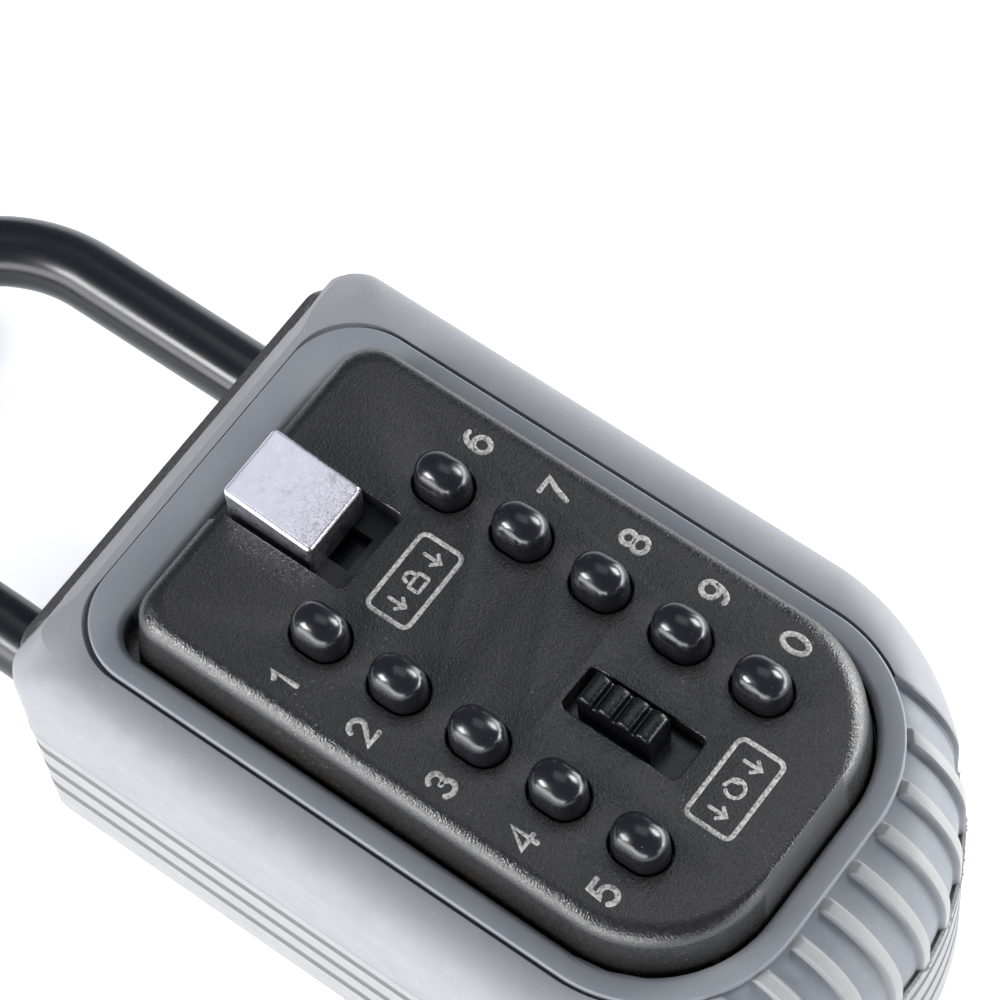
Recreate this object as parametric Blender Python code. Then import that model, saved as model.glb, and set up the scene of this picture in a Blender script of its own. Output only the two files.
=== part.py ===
"""Key lock box: a portable push-button key safe in a rubber boot, with a sliding shackle.

Frame: metres. The box lies on its back, with the back on z = 0. +Z points out of the keypad,
+Y points towards the shackle, and +X is on the right when the keypad is read upright.
The origin is on the back, under the middle row of keys.
"""

import math

import bmesh
import bpy
from mathutils import Vector

MM = 0.001
GAP = 0.3 * MM               # clearance between pieces that touch on the real object

# ---- driving dimensions -------------------------------------------------------------------
PLATE_Z = 50.0 * MM          # top of the keypad plate above the back
KEY_PITCH = 12.0 * MM        # distance between key rows
KEY_COLUMN_X = 12.45 * MM    # half the distance between the two key columns
KEY_ROWS = 5
KEY_HALF_WIDTH = 2.95 * MM
KEY_HALF_LENGTH = 3.85 * MM
KEY_HOLE_GAP = 0.3 * MM      # shows as the dark ring around each key
KEY_HEIGHT = 5.3 * MM        # key top above the plate

COVER_HALF_WIDTH = 24.4 * MM     # at the top edge of the cover's wall
COVER_TOP_Y = 46.0 * MM
COVER_BOTTOM_Y = -39.1 * MM
COVER_R_TOP = 4.8 * MM
COVER_R_BOTTOM = 16.5 * MM
COVER_EDGE = 2.6 * MM            # rolled edge of the plate
COVER_DRAFT = 1.0 * MM           # the wall spreads by this much down to its foot
COVER_FOOT_Z = 37.2 * MM
COVER_FACE = 2.6 * MM            # thickness of the keypad face
COVER_WALL = 2.2 * MM

BOOT_HALF_WIDTH = 36.4 * MM      # rubber boot, the widest part of the body
BOOT_TOP_Y = 58.5 * MM
BOOT_BOTTOM_Y = -55.0 * MM
BOOT_R_TOP = 4.5 * MM
BOOT_WALL = 3.0 * MM
BOOT_BACK = 2.2 * MM
BEAD_Z = 42.0 * MM               # top of the raised bead around the cover
SHOULDER_Z = 41.5 * MM           # boot surface just outside the bead
# outlines: half width, y at the shackle end, y at the far end, corner radii at those two ends
BEAD_LINE = (28.9 * MM, 54.3 * MM, -43.3 * MM, 10.0 * MM, 20.0 * MM)    # where the bead ends
BEAD_WINDOW = (26.2 * MM, 49.3 * MM, -40.4 * MM, 5.5 * MM, 17.5 * MM)   # the bead's inner line
SHOULDER_STEPS = 5
SIDE_DROP = 5.5 * MM             # height of the rounded shoulder along the sides
END_DROP = 14.0 * MM             # the same at the far end, where the tread is
SHACKLE_END_DROP = 3.5 * MM
PARTING_Z = 24.0 * MM            # moulding line, where the tread ribs end
RIB_PITCH = 6.0 * MM
RIB_COUNT = 8
RIB_TOP_HALF = 1.1 * MM
RIB_FOOT_HALF = 1.5 * MM
TREAD_DEPTH = 1.2 * MM
TREAD_HALF_WIDTH = 26.4 * MM
GRIP_GROOVES_Z = (20.0 * MM, 14.0 * MM, 8.2 * MM)
GRIP_GROOVE_DEPTH = 0.6 * MM
GRIP_GROOVE_HALF = 0.45 * MM

CASE_TOP_Y = 60.0 * MM           # the metal case stands a little proud of the boot
CASE_MOUTH = (26.0 * MM, 49.0 * MM, -40.2 * MM, 5.5 * MM, 17.3 * MM)
CASE_THROAT = (23.6 * MM, 46.6 * MM, -37.6 * MM, 4.5 * MM, 15.5 * MM)
CASE_HOLLOW = (30.2 * MM, 54.5 * MM, -48.6 * MM, 4.0 * MM, 29.0 * MM)
LEDGE_TOP_Z = 36.9 * MM          # the cover's foot sits just above this ledge
LEDGE_BOTTOM_Z = 33.5 * MM
CASE_FLOOR_Z = 5.2 * MM

SHACKLE_X = 24.0 * MM
SHACKLE_Z = 12.0 * MM
SHACKLE_R = 4.9 * MM
SHACKLE_BEND_Y = 97.0 * MM       # centre of the bend, whose radius is SHACKLE_X
SHACKLE_TRAVEL = 28.0 * MM
SHORT_LEG_END_Y = 36.5 * MM
LONG_LEG_END_Y = -12.0 * MM
SHACKLE_BORE_R = 5.2 * MM
SHACKLE_CHAMFER = 0.8 * MM
BOSS_INNER_X = 16.6 * MM
BOSS_OUTER_X = 31.5 * MM
RETAINER_R = 1.2 * MM
RETAINER_Y = 20.0 * MM           # the pin that runs in the long leg's flat

LATCH_Y = 39.8 * MM              # middle of the shackle's release latch
LATCH_SPRING_Z = 10.5 * MM
BRIDGE_X = (-5.2 * MM, 14.4 * MM)
BRIDGE_TOP_Z = 17.2 * MM
BRIDGE_SHEET = 1.3 * MM
BRIDGE_SCREWS = ((10.0 * MM, 33.2 * MM), (10.0 * MM, 46.4 * MM))
SCREW_THREAD_R = 1.0 * MM
SCREW_HOLE_R = 1.35 * MM
THREAD_HOLE_R = 1.3 * MM

FACE_BACK_Z = PLATE_Z - COVER_FACE
FLANGE_TOP_Z = FACE_BACK_Z - GAP
FLANGE_BOTTOM_Z = FLANGE_TOP_Z - 2.0 * MM
FLANGE_OVER = 0.9 * MM           # how far a key's flange reaches under the face
KEY_SHOULDER_R = 1.7 * MM
BACKPLATE_TOP_Z = 36.6 * MM
BACKPLATE_Z = 35.1 * MM
BACKPLATE_SCREWS = ((-19.2 * MM, 36.0 * MM), (19.2 * MM, 36.0 * MM),
                    (-19.2 * MM, -18.0 * MM), (19.2 * MM, -18.0 * MM))
SCREW_BOSS_R = 2.3 * MM
GATE_TOP_Z = 34.8 * MM
GATE_Z = 33.6 * MM
STEM_R = 1.5 * MM
STEM_HOLE_R = 1.9 * MM
DIAL_R = 3.1 * MM
DIAL_TOP_Z = 33.3 * MM
DIAL_Z = 31.2 * MM
BOLT_TOP_Z = 33.2 * MM
BOLT_Z = 30.4 * MM
HOOK_X = (4.0 * MM, 9.0 * MM)
KEY_SPRING = (2.3 * MM, 0.3 * MM, 3.5)          # coil radius, wire radius, turns
LEVER_SPRING = (1.9 * MM, 0.35 * MM, 5)
CLEAR_SPRING = (1.6 * MM, 0.3 * MM, 5)
LATCH_SPRING = (2.0 * MM, 0.35 * MM, 4)

LEVER_TRAVEL = 4.6 * MM
LEVER_HALF_WIDTH = 5.4 * MM
LEVER_FRONT_Y = 30.85 * MM
LEVER_BACK_Y = 44.1 * MM
LEVER_FRONT_TOP_Z = 53.1 * MM    # the thumb face slopes up towards the shackle
LEVER_BACK_TOP_Z = 54.6 * MM
LEVER_SPRING_Y = (22.0 * MM, 32.8 * MM)
LEVER_SPRING_Z = 40.5 * MM
LEVER_STEM_X = 2.2 * MM
LEVER_STEM_Y = (33.0 * MM, 39.0 * MM)
SHIELD_FRONT_Y = 27.3 * MM       # a thin plate on the stem that closes the slot to dust
SHIELD_Z = (43.8 * MM, 44.4 * MM)
POCKET_HALF_WIDTH = 6.2 * MM
POCKET_FRONT_Y = 25.6 * MM
POCKET_FLOOR_Z = 46.7 * MM
STEM_SLOT_X = 2.6 * MM
STEM_SLOT_Y = (27.9 * MM, 39.4 * MM)

SLOT_HALF_WIDTH = 3.3 * MM
SLOT_Y = (-22.5 * MM, -5.3 * MM)
SLIDER_HALF_WIDTH = 2.15 * MM
SLIDER_Y = (-17.85 * MM, -7.1 * MM)
SLIDER_FOOT_Y = (-25.4 * MM, -3.9 * MM)
SLIDER_TOP_Z = 53.0 * MM
SLIDER_RIDGES = 4
SLIDER_GROOVE_SHARE = 0.2        # of a ridge's pitch
SLIDER_GROOVE_DEPTH = 0.9 * MM
CLEAR_SPRING_Y = -36.6 * MM
CLEAR_SPRING_Z = 43.9 * MM

# ---- materials: colour, roughness, metallic -------------------------------------------------
MATERIALS = {
    "black_zinc": ((0.045, 0.042, 0.042, 1.0), 0.55, 0.3),
    "boot_rubber": ((0.36, 0.40, 0.45, 1.0), 0.7, 0.0),
    "key_plastic": ((0.012, 0.013, 0.02, 1.0), 0.2, 0.0),
    "nickel": ((0.62, 0.60, 0.66, 1.0), 0.3, 1.0),
    "steel": ((0.55, 0.55, 0.56, 1.0), 0.35, 1.0),
    "spring_steel": ((0.45, 0.45, 0.47, 1.0), 0.3, 1.0),
    "brass": ((0.75, 0.58, 0.25, 1.0), 0.35, 1.0),
    "black_coating": ((0.02, 0.02, 0.022, 1.0), 0.25, 0.2),
}


def remove_everything():
    for item in list(bpy.data.objects):
        bpy.data.objects.remove(item, do_unlink=True)


def material_for(node, kind):
    """A new Principled material for one node."""
    colour, roughness, metallic = MATERIALS[kind]
    material = bpy.data.materials.new(node + "_material")
    material.use_nodes = True
    shader = material.node_tree.nodes["Principled BSDF"]
    shader.inputs["Base Color"].default_value = colour
    shader.inputs["Roughness"].default_value = roughness
    shader.inputs["Metallic"].default_value = metallic
    return material


# ---- mesh tools -----------------------------------------------------------------------------
def add_object(name, mesh_data, kind=None, origin=(0.0, 0.0, 0.0)):
    """Make an object from (vertices, faces) in world metres, with its own origin point."""
    vertices, faces = mesh_data
    shift = Vector(origin)
    mesh = bpy.data.meshes.new(name)
    mesh.from_pydata([Vector(v) - shift for v in vertices], [], faces)
    tidy = bmesh.new()
    tidy.from_mesh(mesh)
    bmesh.ops.recalc_face_normals(tidy, faces=tidy.faces)
    tidy.to_mesh(mesh)
    tidy.free()
    mesh.shade_smooth()
    mesh.set_sharp_from_angle(angle=math.radians(35))
    item = bpy.data.objects.new(name, mesh)
    item.location = shift
    bpy.context.scene.collection.objects.link(item)
    if kind is not None:
        mesh.materials.append(material_for(name, kind))
    return item


def tool(name, mesh_data):
    """A cutter or a solid to be joined on, which isn't a piece of the object."""
    item = add_object(name, mesh_data)
    item.hide_render = True
    item.display_type = "WIRE"
    return item


def boolean(item, other, operation):
    modifier = item.modifiers.new(operation.lower() + "_" + other.name, "BOOLEAN")
    modifier.operation = operation
    modifier.solver = "EXACT"
    modifier.object = other


def cut(item, name, mesh_data):
    boolean(item, tool(name, mesh_data), "DIFFERENCE")


def weld_on(item, name, mesh_data):
    boolean(item, tool(name, mesh_data), "UNION")


def loft(rings):
    """Closed solid through rings of points with equal counts, with flat end caps."""
    count = len(rings[0])
    vertices = [point for ring in rings for point in ring]
    faces = []
    for level in range(len(rings) - 1):
        for i in range(count):
            j = (i + 1) % count
            low = level * count
            high = low + count
            faces.append((low + i, low + j, high + j, high + i))
    faces.append(tuple(range(count)))
    last = (len(rings) - 1) * count
    faces.append(tuple(range(last + count - 1, last - 1, -1)))
    return vertices, faces


def block(x0, x1, y0, y1, z0, z1):
    low = [(x0, y0, z0), (x1, y0, z0), (x1, y1, z0), (x0, y1, z0)]
    high = [(x, y, z1) for x, y, _ in low]
    return loft([low, high])


def circle(centre, radius, axis, sides):
    """Points on a circle around the axis X, Y or Z."""
    points = []
    for i in range(sides):
        angle = 2.0 * math.pi * (i + 0.5) / sides
        a = radius * math.cos(angle)
        b = radius * math.sin(angle)
        offset = {"X": (0.0, a, b), "Y": (b, 0.0, a), "Z": (a, b, 0.0)}[axis]
        points.append(tuple(c + o for c, o in zip(centre, offset)))
    return points


def turned(centre, axis, profile, sides=24):
    """Solid of revolution: profile is (distance along the axis, radius) from one end to the other."""
    rings = []
    for along, radius in profile:
        step = {"X": (along, 0.0, 0.0), "Y": (0.0, along, 0.0), "Z": (0.0, 0.0, along)}[axis]
        moved = tuple(c + s for c, s in zip(centre, step))
        rings.append(circle(moved, radius, axis, sides))
    return loft(rings)


def stadium(cx, cy, half_width, half_length, z, sides=16):
    """Oval with round ends, longer along Y."""
    straight = half_length - half_width
    points = []
    for i in range(sides):
        angle = 2.0 * math.pi * (i + 0.5) / sides
        y_shift = straight if math.sin(angle) > 0.0 else -straight
        x = cx + half_width * math.cos(angle)
        y = cy + half_width * math.sin(angle) + y_shift
        points.append((x, y, z))
    return points


def rounded(x0, x1, y0, y1, radius, z, steps=3):
    """Rectangle with round corners."""
    points = []
    corners = ((x1, y1, 0), (x0, y1, 1), (x0, y0, 2), (x1, y0, 3))
    for x, y, quarter in corners:
        cx = x - radius if quarter in (0, 3) else x + radius
        cy = y - radius if quarter in (0, 1) else y + radius
        for i in range(steps + 1):
            angle = math.pi / 2.0 * (quarter + i / steps)
            points.append((cx + radius * math.cos(angle), cy + radius * math.sin(angle), z))
    return points


def shield(half_width, y_top, y_bottom, r_top, r_bottom, z, top_steps=5, bottom_steps=10):
    """The box's outline: small round corners at the shackle end, large ones at the far end."""
    points = []
    corners = (
        (half_width - r_top, y_top - r_top, r_top, 0, top_steps),
        (-half_width + r_top, y_top - r_top, r_top, 1, top_steps),
        (-half_width + r_bottom, y_bottom + r_bottom, r_bottom, 2, bottom_steps),
        (half_width - r_bottom, y_bottom + r_bottom, r_bottom, 3, bottom_steps),
    )
    for cx, cy, radius, quarter, steps in corners:
        for i in range(steps + 1):
            angle = math.pi / 2.0 * (quarter + i / steps)
            points.append((cx + radius * math.cos(angle), cy + radius * math.sin(angle), z))
    return points


def shield_solid(half_width, y_top, y_bottom, r_top, r_bottom, z0, z1):
    outline = (half_width, y_top, y_bottom, r_top, r_bottom)
    return loft([shield(*outline, z0), shield(*outline, z1)])


def coil(centre, axis, start, end, radius, wire, turns, steps=8, sides=4):
    """Open coil spring along an axis, one closed tube of wire."""
    rings = []
    total = int(turns * steps)
    first = start + wire
    last = end - wire
    for i in range(total + 1):
        part = i / total
        angle = 2.0 * math.pi * turns * part
        along = first + (last - first) * part
        ring = []
        for k in range(sides):
            around = 2.0 * math.pi * k / sides
            distance = radius + wire * math.cos(around)
            a = distance * math.cos(angle)
            b = distance * math.sin(angle)
            c = along + wire * math.sin(around)
            ring.append({"X": (c, centre[1] + a, centre[2] + b),
                         "Y": (centre[0] + b, c, centre[2] + a),
                         "Z": (centre[0] + a, centre[1] + b, c)}[axis])
        rings.append(ring)
    return loft(rings)


# ---- the body's outer form, shared by the boot and the case -----------------------------------
def rib_positions():
    first = -(RIB_COUNT - 1) / 2.0 * RIB_PITCH
    return [first + RIB_PITCH * k for k in range(RIB_COUNT)]


def tread_samples(fine):
    """X values along the far end with True where the tread valley lies."""
    if not fine:
        steps = 8
        return [(-TREAD_HALF_WIDTH + 2 * TREAD_HALF_WIDTH * i / steps, False) for i in range(steps + 1)]
    edge = TREAD_HALF_WIDTH - (RIB_FOOT_HALF - RIB_TOP_HALF)
    samples = [(-TREAD_HALF_WIDTH, False), (-edge, True)]
    for x in rib_positions():
        samples += [(x - RIB_FOOT_HALF, True), (x - RIB_TOP_HALF, False)]
        samples += [(x + RIB_TOP_HALF, False), (x + RIB_FOOT_HALF, True)]
    return samples + [(edge, True), (TREAD_HALF_WIDTH, False)]


def body_ring(outline, z, drop_share=0.0, fine=True, corner_steps=7, top_steps=5):
    """One ring of the body: a list of (x, y, z, in_tread, in_valley), starting at the far end.

    drop_share lowers the ring by that share of the local shoulder height, which is larger at
    the far end than along the sides.
    """
    half_width, y_top, y_bottom, r_top, r_bottom = outline
    flat = half_width - r_bottom
    centre_y = y_bottom + r_bottom
    ring = []
    for x, valley in tread_samples(fine):
        over = max(abs(x) - flat, 0.0)
        y = centre_y - math.sqrt(max(r_bottom ** 2 - over ** 2, 0.0))
        facing = math.sqrt(1.0 - (x / BOOT_HALF_WIDTH) ** 2)
        drop = SIDE_DROP + (END_DROP - SIDE_DROP) * facing ** 1.5
        inside = abs(x) < TREAD_HALF_WIDTH - 0.1 * MM
        ring.append((x, y, z - drop * drop_share, inside, valley))
    right = []
    start = math.acos(min(1.0, (TREAD_HALF_WIDTH - flat) / r_bottom))
    start_outer = math.acos(TREAD_HALF_WIDTH / BOOT_HALF_WIDTH)
    for i in range(1, corner_steps + 1):
        left_over = 1.0 - i / corner_steps
        angle = start * left_over
        drop = SIDE_DROP + (END_DROP - SIDE_DROP) * math.sin(start_outer * left_over) ** 1.5
        x = flat + r_bottom * math.cos(angle)
        y = centre_y - r_bottom * math.sin(angle)
        right.append((x, y, z - drop * drop_share, False, False))
    for i in range(top_steps + 1):
        angle = math.pi / 2.0 * i / top_steps
        drop = SIDE_DROP + (SHACKLE_END_DROP - SIDE_DROP) * math.sin(angle)
        x = half_width - r_top + r_top * math.cos(angle)
        y = y_top - r_top + r_top * math.sin(angle)
        right.append((x, y, z - drop * drop_share, False, False))
    left = [(-x, y, height, tread, valley) for x, y, height, tread, valley in reversed(right)]
    return ring + right + left


def shoulder_outline(angle, inset, y_top_end):
    """Outline part way round the shoulder: 0 degrees at the bead, 90 at the wall."""
    s = math.sin(angle)
    half_width, y_top, y_bottom, r_top, r_bottom = BEAD_LINE
    wall = BOOT_HALF_WIDTH - inset
    return (half_width + (wall - half_width) * s,
            y_top + (y_top_end - y_top) * s,
            y_bottom + (BOOT_BOTTOM_Y + inset - y_bottom) * s,
            r_top + (BOOT_R_TOP - r_top) * s,
            r_bottom + (wall - r_bottom) * s)


def plain(ring):
    return [(x, y, z) for x, y, z, _, _ in ring]


def sunk(ring, depth, keep_ribs):
    """Push the tread down and in by depth; the ribs stay at full height if keep_ribs."""
    points = []
    for x, y, z, inside, valley in ring:
        if inside and (valley or not keep_ribs):
            points.append((x * (1.0 - 0.6 * depth / BOOT_HALF_WIDTH), y + 0.7 * depth, z - 0.7 * depth))
        else:
            points.append((x, y, z))
    return points




def body_solid(inset, y_top_end, z_back, back_round, fine=False):
    """Closed solid of the body's form, moved in by inset, without bead, tread or grip lines."""
    rings = []
    for k in range(SHOULDER_STEPS + 1):
        angle = math.pi / 2.0 * k / SHOULDER_STEPS
        outline = shoulder_outline(angle, inset, y_top_end)
        scale = 1.0 - inset / SIDE_DROP
        ring = body_ring(outline, SHOULDER_Z - inset, (1.0 - math.cos(angle)) * scale, fine)
        rings.append(plain(ring))
    wall = shoulder_outline(math.pi / 2.0, inset, y_top_end)
    rings.append(plain(body_ring(wall, PARTING_Z, 0.0, fine)))
    rings.append(plain(body_ring(wall, z_back + back_round, 0.0, fine)))
    half_width, y_top, y_bottom, r_top, r_bottom = wall
    pulled = (half_width - back_round, y_top, y_bottom + back_round, r_top, r_bottom - back_round)
    rings.append(plain(body_ring(pulled, z_back, 0.0, fine)))
    return loft(rings)


# ---- pieces on the case side --------------------------------------------------------------------
def boot_outer():
    """Outer form of the rubber boot, with the bead, the tread and the grip grooves."""
    def bead_ring(grow, z):
        # grow runs from 0 on the bead's outer line to 1 on its inner line
        outline = tuple(a + (b - a) * grow for a, b in zip(BEAD_LINE, BEAD_WINDOW))
        return body_ring(outline, z)

    rings = [
        plain(bead_ring(0.85, BEAD_Z)),
        plain(bead_ring(0.2, BEAD_Z)),
        plain(bead_ring(0.05, BEAD_Z - 0.4 * MM)),
        plain(bead_ring(0.02, SHOULDER_Z - 0.8 * MM)),
    ]
    half_width, y_top, y_bottom, r_top, r_bottom = BEAD_LINE
    groove = 0.4 * MM
    grown = (half_width + groove, y_top + groove, y_bottom - groove, r_top + groove, r_bottom + groove)
    rings.append(sunk(body_ring(grown, SHOULDER_Z - 0.8 * MM), 0.4 * MM, False))
    first = math.radians(6)
    angles = [first + (math.pi / 2.0 - first) * k / (SHOULDER_STEPS + 1) for k in range(SHOULDER_STEPS + 2)]
    for k, angle in enumerate(angles):
        outline = shoulder_outline(angle, 0.0, BOOT_TOP_Y)
        ring = body_ring(outline, SHOULDER_Z, 1.0 - math.cos(angle))
        rings.append(sunk(ring, TREAD_DEPTH, k > 0))
    wall = shoulder_outline(math.pi / 2.0, 0.0, BOOT_TOP_Y)
    rings.append(sunk(body_ring(wall, PARTING_Z + 0.4 * MM), TREAD_DEPTH, True))
    rings.append(plain(body_ring(wall, PARTING_Z)))
    half_width, y_top, y_bottom, r_top, r_bottom = wall
    deep = GRIP_GROOVE_DEPTH
    groove_line = (half_width - deep, y_top - deep, y_bottom + deep, r_top, r_bottom - deep)
    for z in GRIP_GROOVES_Z:
        rings.append(plain(body_ring(wall, z + GRIP_GROOVE_HALF)))
        rings.append(plain(body_ring(groove_line, z)))
        rings.append(plain(body_ring(wall, z - GRIP_GROOVE_HALF)))
    edge = 1.0 * MM
    rings.append(plain(body_ring(wall, edge)))
    back = (half_width - edge, y_top - edge, y_bottom + edge, r_top, r_bottom - edge)
    rings.append(plain(body_ring(back, 0.0)))
    return loft(rings)


def make_boot():
    boot = add_object("rubber_boot", boot_outer(), "boot_rubber")
    cut(boot, "boot_hollow", body_solid(BOOT_WALL, BOOT_TOP_Y + 5.0 * MM, BOOT_BACK, 0.5 * MM))
    cut(boot, "boot_window", shield_solid(*BEAD_WINDOW, 30.0 * MM, 60.0 * MM))
    return boot


def make_case():
    inset = BOOT_WALL + GAP
    case = add_object("rear_case", body_solid(inset, CASE_TOP_Y, BOOT_BACK + GAP, 0.6 * MM), "black_zinc")
    cut(case, "case_mouth", shield_solid(*CASE_MOUTH, LEDGE_TOP_Z, 60.0 * MM))
    cut(case, "case_throat", shield_solid(*CASE_THROAT, LEDGE_BOTTOM_Z - 1.0 * MM, LEDGE_TOP_Z + 1.0 * MM))
    cut(case, "case_hollow", shield_solid(*CASE_HOLLOW, CASE_FLOOR_Z, LEDGE_BOTTOM_Z))
    boss_top = SHACKLE_Z + 7.4 * MM
    legs = ((1.0, SHORT_LEG_END_Y - 4.0 * MM, "short"), (-1.0, LONG_LEG_END_Y - 4.0 * MM, "long"))
    for side, end_y, name in legs:
        x0, x1 = sorted((side * BOSS_INNER_X, side * BOSS_OUTER_X))
        weld_on(case, name + "_leg_boss", block(x0, x1, end_y, 56.0 * MM, 4.0 * MM, boss_top))
        bore = turned((side * SHACKLE_X, 0.0, SHACKLE_Z), "Y",
                      [(end_y - 5.0 * MM, SHACKLE_BORE_R), (65.0 * MM, SHACKLE_BORE_R)], 24)
        cut(case, name + "_leg_bore", bore)
    cut(case, "latch_slot",
        block(15.0 * MM, 22.0 * MM, LATCH_Y - 1.3 * MM, LATCH_Y + 1.3 * MM, 8.2 * MM, 15.8 * MM))
    pin_hole = [(CASE_FLOOR_Z - 1.0 * MM, RETAINER_R + GAP), (25.0 * MM, RETAINER_R + GAP)]
    cut(case, "retainer_hole", turned((-SHACKLE_X + SHACKLE_R, RETAINER_Y, 0.0), "Z", pin_hole, 12))
    thread = [(-1.7 * MM, THREAD_HOLE_R), (2.0 * MM, THREAD_HOLE_R)]
    for x, y in BRIDGE_SCREWS:
        cut(case, "bridge_thread", turned((x, y, CASE_FLOOR_Z), "Z", thread, 12))
    return case


def make_shackle():
    """The bar is one swept circle: a leg up, the half-round bend, and the other leg down."""
    sides = 20
    bend_steps = 18
    rings = []

    def ring_at(x, y, turn):
        # turn is the direction of travel, 0 along +Y, 180 degrees along -Y
        points = []
        for k in range(sides):
            around = 2.0 * math.pi * k / sides
            out = SHACKLE_R * math.cos(around)
            up = SHACKLE_R * math.sin(around)
            points.append((x - out * math.cos(turn), y + out * math.sin(turn), SHACKLE_Z + up))
        return points

    def end_ring(x, y, turn, shrink):
        return [(x + (px - x) * shrink, y + (py - y) * shrink, SHACKLE_Z + (pz - SHACKLE_Z) * shrink)
                for px, py, pz in ring_at(x, y, turn)]

    chamfer = SHACKLE_CHAMFER
    rings.append(end_ring(-SHACKLE_X, LONG_LEG_END_Y, 0.0, 1.0 - chamfer / SHACKLE_R))
    rings.append(ring_at(-SHACKLE_X, LONG_LEG_END_Y + chamfer, 0.0))
    for k in range(bend_steps + 1):
        turn = math.pi * k / bend_steps
        rings.append(ring_at(-SHACKLE_X * math.cos(turn), SHACKLE_BEND_Y + SHACKLE_X * math.sin(turn), turn))
    rings.append(ring_at(SHACKLE_X, SHORT_LEG_END_Y + chamfer, math.pi))
    rings.append(end_ring(SHACKLE_X, SHORT_LEG_END_Y, math.pi, 1.0 - chamfer / SHACKLE_R))
    shackle = add_object("shackle", loft(rings), "black_coating", (-SHACKLE_X, 0.0, SHACKLE_Z))
    inner = SHACKLE_X - SHACKLE_R
    notch_y = SHORT_LEG_END_Y + 2.0 * MM
    cut(shackle, "latch_notch",
        block(inner - 1.0 * MM, inner + 2.4 * MM, notch_y, notch_y + 2.6 * MM, 0.0, 25.0 * MM))
    # the long leg's flat is as long as the travel and the pin that runs in it
    flat_low = RETAINER_Y - SHACKLE_TRAVEL - 1.7 * MM
    flat_high = RETAINER_Y + 1.8 * MM
    cut(shackle, "retaining_flat",
        block(-inner - 1.7 * MM, -inner + 1.0 * MM, flat_low, flat_high, 0.0, 25.0 * MM))
    return shackle


def make_release_latch():
    """A bolt that points at the short leg, with a thumb tab, its spring and the leg's pin."""
    pin = [(CASE_FLOOR_Z - 0.7 * MM, RETAINER_R), (20.6 * MM, RETAINER_R)]
    pin_at = (-SHACKLE_X + SHACKLE_R, RETAINER_Y, 0.0)
    add_object("shackle_retaining_pin", turned(pin_at, "Z", pin, 12), "steel")
    latch = add_object("shackle_release_latch",
                       block(4.2 * MM, 21.1 * MM, LATCH_Y - 1.0 * MM, LATCH_Y + 1.0 * MM, 8.5 * MM, 15.5 * MM),
                       "steel", (12.0 * MM, LATCH_Y, SHACKLE_Z))
    weld_on(latch, "latch_body",
            block(4.0 * MM, 14.0 * MM, LATCH_Y - 2.5 * MM, LATCH_Y + 2.5 * MM, 6.2 * MM, 15.0 * MM))
    weld_on(latch, "latch_tab",
            block(7.0 * MM, 9.0 * MM, LATCH_Y - 2.0 * MM, LATCH_Y + 2.0 * MM, 14.0 * MM, 21.5 * MM))
    spring_at = (0.0, LATCH_Y, LATCH_SPRING_Z)
    spring_x = (-3.4 * MM, 3.7 * MM)
    add_object("shackle_latch_spring", coil(spring_at, "X", *spring_x, *LATCH_SPRING), "spring_steel",
               (spring_x[1], LATCH_Y, LATCH_SPRING_Z))


def make_latch_bridge():
    """Bent steel that holds the latch down and backs its spring, on two screwed feet."""
    x0, x1 = BRIDGE_X
    base_z = CASE_FLOOR_Z + GAP
    roof = block(x0, x1, LATCH_Y - 3.8 * MM, LATCH_Y + 3.8 * MM, BRIDGE_TOP_Z - BRIDGE_SHEET, BRIDGE_TOP_Z)
    bridge = add_object("latch_bridge", roof, "steel")
    for name, y0, y1 in (("near", 35.0 * MM, 36.4 * MM), ("far", 43.2 * MM, 44.6 * MM)):
        weld_on(bridge, "bridge_leg_" + name, block(x0, x1, y0, y1, base_z, BRIDGE_TOP_Z))
    weld_on(bridge, "bridge_end",
            block(x0, x0 + BRIDGE_SHEET, LATCH_Y - 4.4 * MM, LATCH_Y + 4.4 * MM, base_z, BRIDGE_TOP_Z))
    for name, y0, y1 in (("near", 31.6 * MM, 36.0 * MM), ("far", 43.6 * MM, 48.0 * MM)):
        weld_on(bridge, "bridge_foot_" + name,
                block(7.0 * MM, 13.0 * MM, y0, y1, base_z, base_z + BRIDGE_SHEET))
    cut(bridge, "bridge_tab_slot",
        block(2.8 * MM, 9.8 * MM, LATCH_Y - 2.6 * MM, LATCH_Y + 2.6 * MM, 15.0 * MM, 18.0 * MM))
    hole = [(-2.0 * MM, SCREW_HOLE_R), (3.0 * MM, SCREW_HOLE_R)]
    screw = [(-1.3 * MM, SCREW_THREAD_R), (1.9 * MM, SCREW_THREAD_R),
             (1.9 * MM, 1.9 * MM), (3.0 * MM, 1.7 * MM)]
    for k, (x, y) in enumerate(BRIDGE_SCREWS):
        cut(bridge, "bridge_hole", turned((x, y, CASE_FLOOR_Z), "Z", hole, 12))
        add_object("latch_bridge_screw_%d" % (k + 1), turned((x, y, CASE_FLOOR_Z), "Z", screw, 12), "steel")


# ---- pieces on the cover side -------------------------------------------------------------------
def key_positions():
    """(digit, x, y): 1 to 5 down the left, 6 to 9 and 0 down the right."""
    keys = []
    for column, x in enumerate((-KEY_COLUMN_X, KEY_COLUMN_X)):
        for row in range(KEY_ROWS):
            digit = (column * KEY_ROWS + row + 1) % 10
            y = (KEY_ROWS // 2 - row) * KEY_PITCH
            keys.append((digit, x, y))
    return keys


def cover_ring(spread, z):
    return shield(COVER_HALF_WIDTH + spread, COVER_TOP_Y + spread, COVER_BOTTOM_Y - 0.5 * spread,
                  COVER_R_TOP, COVER_R_BOTTOM, z)


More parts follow.
